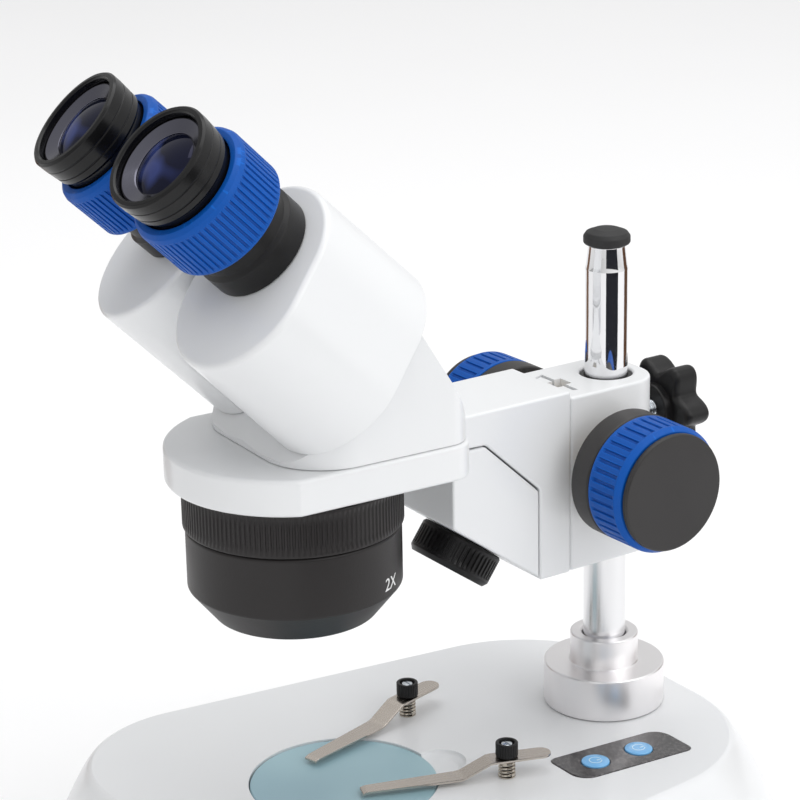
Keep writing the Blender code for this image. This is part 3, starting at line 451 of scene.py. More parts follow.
def coated(name, colour, darker, roughness, spread, grain, depth, metallic=0.0, **sockets):
    """Paint or plastic: cloudy colour, uneven gloss, and a fine grain."""
    made, tree, shader, place = new_material(name, colour, metallic, roughness, **sockets)
    cloud = ramped(tree, noise(tree, place, 22.0, 1.0), 0.2, 0.8, 0.0, 1.0)
    tinted(tree, shader, cloud, darker, colour)
    glossed(tree, shader, noise(tree, place, 60.0, 1.0), 0.1, 0.9, roughness - spread,
            roughness + spread)
    relief(tree, shader, noise(tree, place, grain, 1.0), depth)
    return made


def lathed(name, colour, roughness, spread, pitch, depth, metallic=1.0, **sockets):
    """Turned metal or plastic: fine rings round the piece's own axis."""
    made, tree, shader, place = new_material(name, colour, metallic, roughness, **sockets)
    rings = noise(tree, around(tree, place), pitch, 3.0)
    relief(tree, shader, rings, depth)
    glossed(tree, shader, noise(tree, place, 90.0, 4.0), 0.3, 0.7, roughness - spread,
            roughness + spread)
    return made


def ribbed_rubber():
    """Royal blue grip with a fine matt grain; its colour is paler on the ridges and darker
    between them, a painted shade in the grooves.
    """
    made, tree, shader, place = new_material("blue_grip", (0.003, 0.11, 0.50), 0.0, 0.42,
                                              Specular_IOR_Level=0.18)
    # painted shade: the blue is darker in the hollows between the ribs, where shade falls, and
    # paler on the ridges
    painted_groove_shade = ridge_factor(tree, 0.46, 0.56)
    tinted(tree, shader, painted_groove_shade, (0.002, 0.05, 0.27), (0.003, 0.12, 0.53))
    glossed(tree, shader, noise(tree, place, 250.0), 0.3, 0.7, 0.34, 0.52)
    relief(tree, shader, noise(tree, place, 2600.0, 2.0), 0.05)
    return made


def brushed(name, colour, roughness, stretch):
    """Rolled or brushed steel: long fine scratches along the piece's X."""
    made, tree, shader, place = new_material(name, colour, 1.0, roughness)
    scratches = noise(tree, place, 1.0, 4.0, stretch)
    relief(tree, shader, scratches, 0.0015)
    glossed(tree, shader, scratches, 0.3, 0.7, roughness - 0.04, roughness + 0.05)
    tinted(tree, shader, noise(tree, place, 120.0), tuple(c * 0.9 for c in colour), colour)
    return made


def chrome_rod():
    """Bright rod above, rubbed to satin where the block has slid below."""
    made, tree, shader, place = new_material("pillar_chrome", (0.83, 0.83, 0.84), 1.0, 0.05)
    split = tree.nodes.new("ShaderNodeSeparateXYZ")
    tree.links.new(place, split.inputs["Vector"])
    glossed(tree, shader, split.outputs["Z"], (BASE_TOP + 66) * MM, (BASE_TOP + 90) * MM,
            0.24, 0.045)
    relief(tree, shader, noise(tree, place, 1.0, 3.0, (2400, 2400, 60)), 0.004)
    return made


def frosted():
    """Stage plate: pale blue frosted glass, a little cloudy."""
    made, tree, shader, place = new_material(
        "frosted_glass", (0.33, 0.52, 0.58), 0.0, 0.34, IOR=1.5, Coat_Weight=0.35,
        Coat_Roughness=0.12)
    cloud = ramped(tree, noise(tree, place, 14.0, 2.0), 0.35, 0.65, 0.0, 1.0)
    tinted(tree, shader, cloud, (0.28, 0.45, 0.52), (0.36, 0.55, 0.60))
    relief(tree, shader, noise(tree, place, 3500.0, 2.0), 0.02)
    return made


def optical(name, colour, tint):
    """Coated lens: dark inside with a violet-blue bloom and clear gloss."""
    made, tree, shader, place = new_material(
        name, colour, 0.0, 0.03, Specular_IOR_Level=0.3)
    shader.inputs["Specular Tint"].default_value = (*tint, 1.0)
    bloom = ramped(tree, noise(tree, place, 75.0, 1.0), 0.5, 0.66, 0.0, 1.0)
    tinted(tree, shader, bloom, tuple(c * 0.08 for c in colour), colour)
    return made


def panel_sheet():
    """Dark glossy film with a faint metallic fleck."""
    made, tree, shader, place = new_material(
        "panel_film", (0.075, 0.072, 0.075), 0.55, 0.16, Coat_Weight=0.6, Coat_Roughness=0.08)
    fleck = ramped(tree, noise(tree, place, 900.0, 1.0), 0.45, 0.75, 0.0, 1.0)
    tinted(tree, shader, fleck, (0.055, 0.052, 0.055), (0.16, 0.15, 0.15))
    glossed(tree, shader, noise(tree, place, 130.0), 0.3, 0.7, 0.11, 0.24)
    return made


WHITE = (0.80, 0.81, 0.82)
BLACK = (0.010, 0.0095, 0.010)
FINISHES = {
    "white_paint": coated("white_paint", WHITE, (0.785, 0.795, 0.806), 0.31, 0.05, 600.0, 0.012,
                          Coat_Weight=0.25, Coat_Roughness=0.12),
    "black_plastic": coated("black_plastic", BLACK, (0.007, 0.0067, 0.007), 0.38, 0.06,
                            2200.0, 0.03, Specular_IOR_Level=0.3),
    "black_gloss": lathed("black_gloss", (0.004, 0.004, 0.0045), 0.24, 0.05, 2600.0, 0.008,
                          0.0, Specular_IOR_Level=0.3),
    "black_cap": coated("black_cap", (0.024, 0.022, 0.022), (0.019, 0.017, 0.017), 0.46, 0.05,
                        3000.0, 0.03),
    "turret_black": coated("turret_black", (0.017, 0.0145, 0.0145), (0.013, 0.011, 0.011),
                           0.42, 0.05, 1800.0, 0.035, Specular_IOR_Level=0.38),
    "blue_grip": ribbed_rubber(),
    "pillar_chrome": chrome_rod(),
    "turned_aluminium": lathed("turned_aluminium", (0.92, 0.905, 0.91), 0.33, 0.02, 4200.0,
                               0.012),
    "spring_steel": brushed("spring_steel", (0.60, 0.545, 0.49), 0.25, (60, 2600, 2600)),
    "spring_wire": lathed("spring_wire", (0.62, 0.57, 0.50), 0.16, 0.05, 900.0, 0.004),
    "zinc_steel": lathed("zinc_steel", (0.62, 0.66, 0.70), 0.22, 0.06, 3000.0, 0.02),
    "turned_brass": lathed("turned_brass", (0.70, 0.50, 0.24), 0.30, 0.07, 3500.0, 0.02),
    "frosted_glass": frosted(),
    "optical_glass": optical("optical_glass", (0.03, 0.045, 0.16), (0.6, 0.6, 1.0)),
    "lens_seat": lathed("lens_seat", (0.13, 0.13, 0.16), 0.18, 0.04, 2500.0, 0.004),
    "panel_film": panel_sheet(),
    "button_film": coated("button_film", (0.13, 0.42, 0.80), (0.22, 0.55, 0.90), 0.22, 0.05,
                          1500.0, 0.01, Coat_Weight=0.5),
    "button_mark": coated("button_mark", (0.62, 0.82, 0.95), (0.5, 0.75, 0.92), 0.25, 0.05,
                          1500.0, 0.01),
    "rubber_foot": coated("rubber_foot", (0.018, 0.018, 0.019), (0.012, 0.012, 0.012), 0.62,
                          0.08, 1400.0, 0.06),
    "inner_plastic": coated("inner_plastic", (0.72, 0.72, 0.70), (0.66, 0.66, 0.64), 0.45,
                            0.06, 1500.0, 0.03),
    "mark_white": coated("mark_white", (0.82, 0.82, 0.82), (0.74, 0.74, 0.74), 0.45, 0.05,
                         2500.0, 0.01),
}


# Base -----------------------------------------------------

def base_outline(offset):
    """Outline of the base, offset outwards from its top outline."""
    skirt = BASE_WALL[0][1]
    slope = (BASE_HALF_WIDTH_FRONT - BASE_HALF_WIDTH_REAR) / (BASE_REAR_TOP - BASE_FRONT_TOP)
    front = BASE_FRONT_TOP - offset * (BASE_HALF_LENGTH + BASE_FRONT_TOP) / skirt
    rear = BASE_REAR_TOP + offset * (BASE_HALF_LENGTH - BASE_REAR_TOP) / skirt
    half_front = BASE_HALF_WIDTH_FRONT + slope * (BASE_FRONT_TOP - front) + offset
    half_rear = BASE_HALF_WIDTH_REAR - slope * (rear - BASE_REAR_TOP) + offset
    corners = [(-half_front, front), (half_front, front), (half_rear, rear),
               (-half_rear, rear)]
    radii = [BASE_FRONT_CORNER + offset] * 2 + [BASE_REAR_CORNER + offset] * 2
    return rounded(corners, radii, 20)


def base_level(height, offset):
    return [(x, y, height) for x, y in base_outline(offset)]


def wall_curve(steps=4):
    """The base's wall between its given levels, as a smooth curve."""
    levels = []
    for i in range(len(BASE_WALL) - 1):
        before = Vector(BASE_WALL[max(i - 1, 0)])
        here, there = Vector(BASE_WALL[i]), Vector(BASE_WALL[i + 1])
        after = Vector(BASE_WALL[min(i + 2, len(BASE_WALL) - 1)])
        for k in range(steps):
            t = k / steps
            point = 0.5 * (2 * here + (there - before) * t
                           + (2 * before - 5 * here + 4 * there - after) * t ** 2
                           + (3 * here - before - 3 * there + after) * t ** 3)
            levels.append((point.x, min(point.y, SKIRT_REACH)))
    levels.append(BASE_WALL[-1])
    return levels


def panel_outline(inset):
    """Leaning rectangle with two tight corners and two wide ones."""
    half = PANEL_HALF_WIDTH - inset
    front, rear = PANEL_FRONT + inset, PANEL_REAR - inset
    corners = [(PANEL_FRONT_X - half, front), (PANEL_FRONT_X + half, front),
               (PANEL_REAR_X + half, rear), (PANEL_REAR_X - half, rear)]
    return rounded(corners, [radius - inset for radius in (3.0, 7.0, 3.0, 7.0)], 8)


def make_base_shell():
    shell = mesh_object("base_shell_look", loft([base_level(*step) for step in wall_curve()]))
    roof = BASE_TOP - SHELL_ROOF
    inner = [(SHELL_BOTTOM - 1.0, BASE_WALL[0][1] - SHELL_WALL)]
    inner += [(height, offset - SHELL_WALL) for height, offset in BASE_WALL[:4]]
    inner.append((roof, BASE_WALL[4][1] - SHELL_WALL - 1.0))
    cut(shell, loft([base_level(*step) for step in inner]))
    cut_base_openings(shell)
    soften(shell, 0.5, 3, 42)
    settle(shell, "white_paint", "base", "base_shell")


def cut_base_openings(shell):
    """Stage seat with its finger notch, panel recess, and holes for buttons, posts, inlet."""
    seat = [(0, 5), (STAGE_R + 0.4, 5), (STAGE_R + 0.4, -5.5), (STAGE_R - 5, -5.5),
            (STAGE_R - 5, -SHELL_ROOF - 5), (0, -SHELL_ROOF - 5)]
    cut(shell, lathe(seat, 128), at(STAGE.x, STAGE.y, BASE_TOP))
    notch = eased([(0, 4), (11.0, 4), (9.0, -1.2), (6.5, -2.6), (0, -2.6)], 1.5)
    cut(shell, lathe(notch, 64), at(8, STAGE.y + STAGE_R + 3.0, BASE_TOP))
    cut(shell, slab(lambda inset: panel_outline(inset - 0.3), BASE_TOP - 1.3, BASE_TOP + 5))
    for name in ("button_stage_lamp", "button_top_lamp"):
        centre = middle_of(name)
        cut(shell, rod(BUTTON_R + 0.3, -12, 5), at(centre.x, centre.y, BASE_TOP))
    for tag in TAGS:
        post = joint_point("clip_swing_" + tag)
        cut(shell, rod(2.1, -12, 5, 24), at(post.x, post.y, BASE_TOP))
    low, high = box_of("power_inlet")
    cut(shell, rod((high.x - low.x) / 2 + 0.3, -14, 12, 32),
        along((0, 1, 0), ((low.x + high.x) / 2, low.y + 9, (low.z + high.z) / 2)))


def make_stage_plate():
    top = box_of("stage_plate")[1].z
    glass = eased([(0, top - 4.8), (STAGE_R, top - 4.8), (STAGE_R, top), (0, top)], 0.8, 5)
    turned("stage_plate_look", glass, at(STAGE.x, STAGE.y, 0), "frosted_glass", "base",
           "stage_plate", segments=160)


def make_panel():
    film = mesh_object("control_panel_look",
                       slab(panel_outline, BASE_TOP - 1.0, BASE_TOP + 0.3, 0.25, 2))
    for name, body in (("button_stage_lamp", "stage_lamp_button"),
                       ("button_top_lamp", "top_lamp_button")):
        centre = middle_of(name)
        place = at(centre.x, centre.y, BASE_TOP)
        cut(film, rod(BUTTON_R + 0.3, -3, 3), place)
        cap = eased([(0, -6.0), (BUTTON_R, -6.0), (BUTTON_R, 0.75), (3.4, 0.98), (0, 0.85)], 0.4)
        turned(name + "_look", cap, place, "button_film", body, name, segments=64)
        ring = [(2.5, 0.80), (2.5, 0.99), (2.1, 0.99), (2.1, 0.80)]
        mark = mesh_object(name + "_mark", lathe(ring, 48, closed=True), place)
        cut(mark, block_mesh((1.6, 3.4, 1.0), (0.3, 1.2, 0.9)), place)
        cut(mark, block_mesh((0.5, 2.0, 0.19), (0.3, 1.3, 0.895)), place, "UNION")
        settle(mark, "button_mark", body)
    soften(film, 0.12, 3)
    settle(film, "panel_film", "base", "control_panel")


# Pillar ---------------------------------------------------

def make_pillar():
    place = at(PILLAR.x, PILLAR.y, 0)
    foot = BASE_TOP + GAP
    bore, neck, disc = 8.3, 13.0, 23.0
    step, collar = foot + 16.4, foot + 28.2
    flange = [(bore, foot), (disc, foot), (disc, step), (neck, step), (neck, collar),
              (bore + 0.9, collar), (bore, foot + 27.2)]
    turned("pillar_flange_look", eased(flange, 0.7, 4, closed=True), place,
           "turned_aluminium", "base", "pillar_flange", segments=160, closed=True)
    top = box_of("pillar")[1].z
    tube = [(0, foot), (8.0, foot), (8.0, top - 9.0), (7.6, top - 7.0), (6.9, top - 1.0),
            (6.9, top), (5.2, top), (5.2, top - 11.0), (0, top - 11.0)]
    turned("pillar_look", eased(tube, 0.9, 5), place, "pillar_chrome", "base", "pillar",
           segments=128)
    rim = top + GAP
    cap = [(0, rim - 9.0), (4.9, rim - 9.0), (4.9, rim), (8.2, rim), (8.65, rim + 0.7),
           (8.65, rim + 2.9), (7.6, rim + 4.4), (4.5, rim + 5.6), (0, rim + 6.1)]
    turned("pillar_cap_look", eased(cap, 1.0, 5), place, "rubber_foot", "base", "pillar_cap")


# Stage clips ----------------------------------------------

def strip_mesh():
    """Bent strip along +X from its post: rounded tail, ramp, narrowing arm, turned-down tip."""
    # (distance from the post, height of the lower face, half-width)
    stations = [(-12.6, 0.0, 3.9), (-4.0, 0.0, 4.0), (5.6, 0.0, 4.0), (7.0, -0.15, 4.0),
                (8.4, -0.8, 3.98), (16.2, -4.5, 3.9), (17.4, -4.95, 3.88), (19.0, -5.12, 3.85),
                (35.0, -5.35, 3.4), (52.0, -5.6, 2.9), (53.0, -5.75, 2.85), (54.2, -6.2, 2.8)]
    tail = [(-12.6 - 3.9 * math.sin(a), 0.0, 3.9 * math.cos(a))
            for a in (math.radians(d) for d in (80, 65, 48, 32, 16))]
    stations = tail + stations
    bm = bmesh.new()
    sides = [[bm.verts.new((x, sign * w, z)) for x, z, w in stations] for sign in (-1, 1)]
    faces = [bm.faces.new((sides[0][i], sides[0][i + 1], sides[1][i + 1], sides[1][i]))
             for i in range(len(stations) - 1)]
    grown = bmesh.ops.extrude_face_region(bm, geom=faces)
    moved = [v for v in grown["geom"] if isinstance(v, bmesh.types.BMVert)]
    bmesh.ops.translate(bm, vec=(0, 0, STRIP), verts=moved)
    return bm


def coil_mesh(turns, per_turn, radius, wire, low, high, around_wire=10):
    """Tube round a helix, with its last turn at each end pressed flat."""
    count = turns * per_turn
    pressed = 0.7 * per_turn       # steps in the flat stretch at each end
    rings = []
    bm = bmesh.new()
    for i in range(count + 1):
        angle = math.tau * i / per_turn
        share = (i - pressed) / (count - 2 * pressed)
        height = low + (high - low) * min(max(share, 0.0), 1.0)
        out = Vector((math.cos(angle), math.sin(angle), 0))
        centre = out * radius + Vector((0, 0, height))
        rings.append([bm.verts.new(centre + out * (wire * math.cos(math.tau * k / around_wire))
                                   + Vector((0, 0, wire * math.sin(math.tau * k / around_wire))))
                      for k in range(around_wire)])
    for first, second in zip(rings, rings[1:]):
        bridge(bm, first, second)
    bm.faces.new(list(reversed(rings[0])))
    bm.faces.new(rings[-1])
    return bm


def knurled(count, depth, low, high):
    """Wave for a lathe: shallow grooves round the rim between two heights."""
    def wave(angle, radius, height):
        if not low <= height <= high or radius < 3.0:
            return radius
        return radius - depth * (0.5 + 0.5 * math.cos(count * angle)) ** 3
    return wave


def make_clip(tag):
    post = joint_point("clip_swing_" + tag)
    tip_side = joint_axis("clip_lift_" + tag)
    heading = Vector((-tip_side.y, tip_side.x, 0))
    place = along((0, 0, 1), (post.x, post.y, BASE_TOP + CLIP_HEIGHT), heading)
    arm = mesh_object("clip_arm_look_" + tag, strip_mesh(), place)
    cut(arm, rod(2.35, -3, 4, 32), place)
    soften(arm, 0.16, 2, 50)
    settle(arm, "spring_steel", "clip_" + tag, "clip_arm_" + tag)
    foot = at(post.x, post.y, BASE_TOP)
    make_clip_screw(tag, foot)
    make_clip_spring(tag, foot)


def make_clip_screw(tag, foot):
    """Knurled head on a plain shank, with a slotted steel core."""
    body = "clip_screw_%s_body" % tag
    head = CLIP_HEIGHT + STRIP + 0.5
    screw = [(0, -8.0), (1.7, -8.0), (1.7, head), (4.1, head), (4.1, head + 5.2),
             (2.9, head + 5.2), (2.7, head + 3.6), (0, head + 3.6)]
    turned("clip_screw_look_" + tag, eased(screw, 0.3, 3), foot, "black_plastic", body,
           "clip_screw_" + tag, segments=144,
           wave=knurled(24, 0.22, head + 0.2, head + 4.95))
    core = [(0, head + 3.55), (2.1, head + 3.55), (2.1, head + 4.7), (0, head + 4.9)]
    core = mesh_object("clip_screw_core_" + tag, lathe(eased(core, 0.3), 48), foot)
    cut(core, block_mesh((5.0, 0.6, 1.2), (0, 0, head + 5.0)), foot)
    settle(core, "zinc_steel", body)


def make_clip_spring(tag, foot):
    """Washer and coil; the coil ends low enough to clear the strip when it lifts."""
    washer = eased([(1.9, 0.1), (3.2, 0.1), (3.2, 0.55), (1.9, 0.55)], 0.15, 2, True)
    turned("clip_washer_" + tag, washer, foot, "spring_wire", "clip_swivel_" + tag,
           segments=64, closed=True)
    coil = coil_mesh(5, 24, 2.72, 0.47, 1.05, CLIP_HEIGHT - 1.0)
    settle(mesh_object("clip_spring_look_" + tag, coil, foot), "spring_wire",
           "clip_swivel_" + tag, "clip_spring_" + tag)


# Focus block and clamp ------------------------------------

def dovetail(front, half_front, rear, half_rear):
    return [(-half_front, front), (half_front, front), (half_rear, rear), (-half_rear, rear)]


def flat(outline, bottom, top):
    return loft([[(x, y, z) for x, y in outline] for z in (bottom, top)])


def make_block():
    half, low, high = BLOCK_HIGH.x, BLOCK_LOW.z, BLOCK_HIGH.z
    bore, shaft, pinion, stud = 9.8, 2.9, 4.5, 4.2
    past = 5                       # how far the long tools reach past the block
    corners = [(-half, BLOCK_FRONT), (half, BLOCK_FRONT), (half, BLOCK_HIGH.y),
               (-half, BLOCK_HIGH.y)]
    block = mesh_object("focus_block_look", flat(rounded(corners, [1.5, 1.5, 13, 13], 16),
                                                 low, high))
    cut(block, rod(bore, low - past, high + past, 64), at(PILLAR.x, PILLAR.y, 0))
    soften(block, 1.1, 4)
    slot = dovetail(BLOCK_FRONT - 3, 7.4, BLOCK_FRONT + 8.0, 11.0)
    channel = dovetail(BLOCK_FRONT - 3, 3.4, PINION.y - 3.9, 3.4)
    for outline in (slot, channel):
        cut(block, flat(outline, low - past, high + past))
    across = along((1, 0, 0), PINION, (0, 1, 0))
    cut(block, rod(shaft, -30, 30), across)
    cut(block, rod(pinion, -6, 6), across)
    cut(block, rod(stud, 8.5, 30), along((0, 1, 0), CLAMP))
    settle(block, "white_paint", "block", "focus_block")


def lobed(lobes, swing):
    """Outline function of a hand knob with rounded lobes and hollows between them."""
    middle, count = 16.2, 180

    def outline(inset):
        points = []
        for i in range(count):
            angle = math.tau * i / count
            radius = middle + swing * math.cos(lobes * angle) - inset
            points.append((radius * math.cos(angle), radius * math.sin(angle)))
        return points
    return outline


def make_clamp():
    rearward = along((0, 1, 0), CLAMP)
    front, rear = 24.0, box_of("clamp_knob")[1].y - CLAMP.y
    knob = mesh_object("clamp_knob_look", slab(lobed(6, 2.8), front, rear, 2.6, 6), rearward)
    dish = eased([(0, rear + 3), (9.5, rear + 3), (8.5, rear - 0.9), (0, rear - 0.9)], 0.5)
    cut(knob, lathe(dish, 64), rearward)
    boss = eased([(0, front - 3), (9.6, front - 3), (9.6, front + 1), (0, front + 1)], 0.8)
    cut(knob, lathe(boss, 64), rearward, "UNION")
    cut(knob, rod(4.2, front - 5, 31.3), rearward)
    soften(knob, 0.35, 2, 45)
    settle(knob, "black_plastic", "clamp", "clamp_knob")
    thread = []
    start, end, pitch, turns = 10.0, 31.0, 1.25, 17
    for i in range(turns):
        thread += [(3.9, start + pitch * i + 0.35), (3.45, start + pitch * (i + 0.5) + 0.35)]
    stud = [(0, start), (3.2, start)] + thread + [(3.6, end), (0, end)]
    turned("clamp_stud_look", stud, rearward, "zinc_steel", "clamp", "clamp_stud", segments=64)


# Focus knobs ----------------------------------------------

def grooved(count, depth, low, high, share):
    """Wave for a lathe: flat-bottomed grooves that fade out at both ends."""
    def wave(angle, radius, height):
        if height <= low or height >= high:
            return radius
        place = abs((angle * count / math.tau) % 1.0 - 0.5) * 2
        groove = min(max((share - place) / 0.14 + 0.5, 0.0), 1.0)
        fade = min((height - low) / 0.7, (high - height) / 0.7, 1.0)
        return radius - depth * groove * fade
    return wave


def graded(profile, low, high, steps):
    """Add points to the straight stretch of a profile between two heights."""
    result = []
    for here, there in zip(profile, profile[1:]):
        result.append(here)
        if min(here[1], there[1]) <= low and max(here[1], there[1]) >= high:
            for k in range(steps + 1):
                height = low + (high - low) * k / steps
                if here[1] > there[1]:
                    height = low + high - height
                share = (height - here[1]) / (there[1] - here[1])
                result.append((here[0] + (there[0] - here[0]) * share, height))
    result.append(profile[-1])
    return result


def make_focus_side(side, tag):
    """Knob, grip and bush of one side; the frame gives how far out the knob stands."""
    grip_in, grip_out, out, core = 38.3, 54.8, 57.5, 19.5
    low, high = box_of("focus_knob_" + tag)
    shift = (high.x if side > 0 else -low.x) - out
    outward = along((side, 0, 0), (side * shift, PINION.y, PINION.z), (0, 1, 0))
    hub = [(0, 28.3), (KNOB_R, 28.3), (KNOB_R, grip_in - GAP), (core, grip_in - GAP),
           (core, grip_out + GAP), (KNOB_CAP_R, grip_out + GAP), (KNOB_CAP_R, out),
           (14.0, out - 0.15), (0, out - 0.2)]
    turned("focus_knob_look_" + tag, eased(hub, 0.9, 5), outward, "black_cap", "focus_drive",
           "focus_knob_" + tag, segments=144)

    grooves, first, last = 40, grip_in + 1.6, grip_out - 2.4
    ring = [(core + GAP, grip_in), (KNOB_R, grip_in), (KNOB_R - 0.15, grip_out - 2.0),
            (KNOB_CAP_R + 0.3, grip_out), (core + GAP, grip_out)]
    turned("focus_grip_look_" + tag, graded(eased(ring, 0.6, 4, closed=True), first, last, 12),
           outward, "blue_grip", "focus_drive", "focus_grip_" + tag, segments=grooves * 14,
           wave=grooved(grooves, 0.6, first, last, 0.36), closed=True)

    near, far = 17.3, 27.8
    stretch = (far + shift - near) / (far - near)
    collar = eased([(2.8, near), (9.0, near), (9.0, far), (2.8, far)], 0.5, 3, True)
    turned("shaft_bush_look_" + tag, [(r, near + (z - near) * stretch) for r, z in collar],
           along((side, 0, 0), (0, PINION.y, PINION.z), (0, 1, 0)), "turned_brass", "block",
           "shaft_bush_" + tag, closed=True)


# Arm, lamp and head plate ---------------------------------

LAMP = along(joint_axis("lamp_shade_turn"), joint_point("lamp_shade_turn"))
SLAB_FRONT = ARM_REAR - 13.8
# Ends of the slanting line between the arm and the lamp housing, as (y, z)
NOTCH_TOP = (PILLAR.y - 67.4, PLATE_BOTTOM - 0.1)
NOTCH_LOW = (SLAB_FRONT, BASE_TOP + 100.5)


def plate_outline(inset):
    """Round front about the turret axis, straight sides, rounded rear corners."""
    radius = PLATE_R - inset
    half = PLATE_HALF_WIDTH - inset
    start = math.acos(half / radius)
    points = []
    steps = 64
    for i in range(steps + 1):
        angle = -(math.pi - start) + (math.pi - 2 * start) * i / steps
        points.append((radius * math.cos(angle), PLATE_CENTRE + radius * math.sin(angle)))
    corner = 9.0 - inset
    rear = PLATE_REAR - inset
    for sign, first in ((1, 0.0), (-1, math.pi / 2)):
        for i in range(13):
            angle = first + math.pi / 2 * i / 12
            points.append((sign * (half - corner) + corner * math.cos(angle),
                           rear - corner + corner * math.sin(angle)))
    return points


def make_arm():
    half, low, top = ARM_HIGH.x, ARM_LOW.z, ARM_HIGH.z
    neck_front = TURRET.y + PLATE_REAR - 3.0
    outline = [(ARM_REAR, low), (ARM_REAR, top), (neck_front, top),
               (neck_front, PLATE_BOTTOM + 0.9), NOTCH_TOP, NOTCH_LOW, (SLAB_FRONT, low)]
    arm = mesh_object("focus_arm_look", side_prism(outline, half))
    cut(arm, loft([[(x, y, z) for x, y in plate_outline(-GAP)]
                   for z in (PLATE_BOTTOM - 5, PLATE_BOTTOM + PLATE_THICKNESS + 5)]), HEAD)
    soften(arm, 1.0, 4)
    tongue = dovetail(ARM_REAR - 1, 7.6, ARM_REAR + 7.4, 10.2)
    cut(arm, flat(tongue, BLOCK_LOW.z + 0.5, BLOCK_HIGH.z - 0.5), None, "UNION")
    cut(arm, block_mesh((6.6, 8.6, 90), (0, ARM_REAR + 8.0, BLOCK_LOW.z + 35)))
    settle(arm, "white_paint", "carriage", "focus_arm")


def make_lamp_housing():
    front = PILLAR.y - 82.0
    seat, top = SLAB_FRONT - 0.4, PLATE_BOTTOM - 0.5
    cover = [(seat, ARM_LOW.z + 1.0), (seat, NOTCH_LOW[1] - 0.6), (NOTCH_TOP[0] - 0.4, top),
             (front, top), (front, BASE_TOP + 93.8)]
    housing = mesh_object("lamp_housing_look", side_prism(cover, ARM_HIGH.x))
    soften(housing, 1.0, 4)
    cut(housing, rod(11.0, -10, 6), LAMP)
    settle(housing, "white_paint", "carriage", "lamp_housing")


def make_lamp():
    outer, length = 15.7, 12.6
    shade = [(12.2, GAP), (outer - 0.7, GAP), (outer, GAP + 0.9), (outer, length - 1.8),
             (outer - 1.3, length), (13.4, length), (12.2, length - 2.0)]
    grooves, first, last = 48, 2.2, length - 2.6
    turned("lamp_barrel_look", graded(eased(shade, 0.35, 3, closed=True), first, last, 8), LAMP,
           "black_plastic", "lamp_shade", "lamp_barrel", segments=grooves * 10,
           wave=grooved(grooves, 0.6, first, last, 0.5), closed=True)
    lens = eased([(0, 3.0), (11.8, 3.0), (11.8, 7.0), (7.0, 8.6), (0, 9.2)], 1.2, 5)
    turned("lamp_lens_look", lens, LAMP, "optical_glass", "lamp_shade", "lamp_lens")


def make_head_plate():
    top = PLATE_BOTTOM + PLATE_THICKNESS
    plate = mesh_object("head_plate_look", slab(plate_outline, PLATE_BOTTOM, top, 1.6, 6), HEAD)
    for x in (-OBJECTIVE_RADIUS, OBJECTIVE_RADIUS):
        cut(plate, rod(LIGHT_PATH_R, PLATE_BOTTOM - 5, top + 5), HEAD @ at(x, 0, 0))
    spindle = rod(3.8, PLATE_BOTTOM - 44, PLATE_BOTTOM + 12)
    cut(plate, spindle, HEAD, "UNION")
    settle(plate, "white_paint", "carriage", "head_plate")


# Head -----------------------------------------------------

def eye_frame(tag):
    """Placement of one eyepiece: local Z up the axis, origin on the rim."""
    name = "eyepiece_ring_turn_" + tag
    across = HEAD.to_3x3() @ Vector((1, 0, 0))
    axis = joint_axis(name)
    return along(axis, joint_point(name) + axis * RING_S, across)


def housing_outline(side, grow, steps=40):
    """Stadium round the eyepiece axis and the swing centre, in local x and y."""
    radius = HOUSING_R + grow
    lean = (LOWER_CENTRE - UPPER_CENTRE).angle_signed(Vector((0, -1)))
    points = []
    for centre, first in ((UPPER_CENTRE, 0.0), (LOWER_CENTRE, math.pi)):
        for i in range(steps + 1):
            angle = first + lean + math.pi * i / steps
            points.append((centre.x + radius * math.cos(angle),
                           centre.y + radius * math.sin(angle)))
    if side > 0:
        return points
    return [(-x, y) for x, y in reversed(points)]


def make_housing(side, tag):
    face = eye_frame(tag) @ at(0, 0, -FACE_S)
    depth = HOUSING_END_S[tag] - FACE_S
    levels = [(-depth, HOUSING_DRAFT - 0.5), (-depth + 0.15, HOUSING_DRAFT - 0.15),
              (-depth + 0.5, HOUSING_DRAFT)]
    steps = 6
    for k in range(steps + 1):
        angle = math.pi / 2 * k / steps
        levels.append((2.0 * (math.sin(angle) - 1), 2.0 * (math.cos(angle) - 1)))
    rings = [[(x, y, z) for x, y in housing_outline(side, grow)] for z, grow in levels]
    shell = mesh_object("prism_housing_look_" + tag, loft(rings), face)
    port = face @ at(side * LOWER_CENTRE.x, LOWER_CENTRE.y, 0)
    cut(shell, rod(14, -depth - 4, -depth + 12), port)
    cut(shell, rod(12, -16, 5), face)
    reach = 60                     # width of the tool that cuts the flats
    middle = HEAD @ at(side * (FLAT_OUT - reach / 2), 0, face.translation.z)
    swing_at = joint_point("prism_swing_" + tag)
    axis = joint_axis("prism_swing_" + tag)
    opened = at(*swing_at) @ Matrix.Rotation(side * SWING, 4, axis) @ at(*-swing_at)
    for place in (middle, opened @ middle):
        cut(shell, block_mesh((reach, 200, 200)), place)
    soften(shell, 0.8, 3, 44)
    settle(shell, "white_paint", "prism_" + tag, "prism_housing_" + tag)


def wedge_outline():
    corners = [(-WEDGE_HALF_WIDTH, WEDGE_FRONT), (WEDGE_HALF_WIDTH, WEDGE_FRONT),
               (WEDGE_HALF_WIDTH, WEDGE_REAR), (-WEDGE_HALF_WIDTH, WEDGE_REAR)]
    return rounded(corners, [22.5, 22.5, 9.0, 9.0], 24)


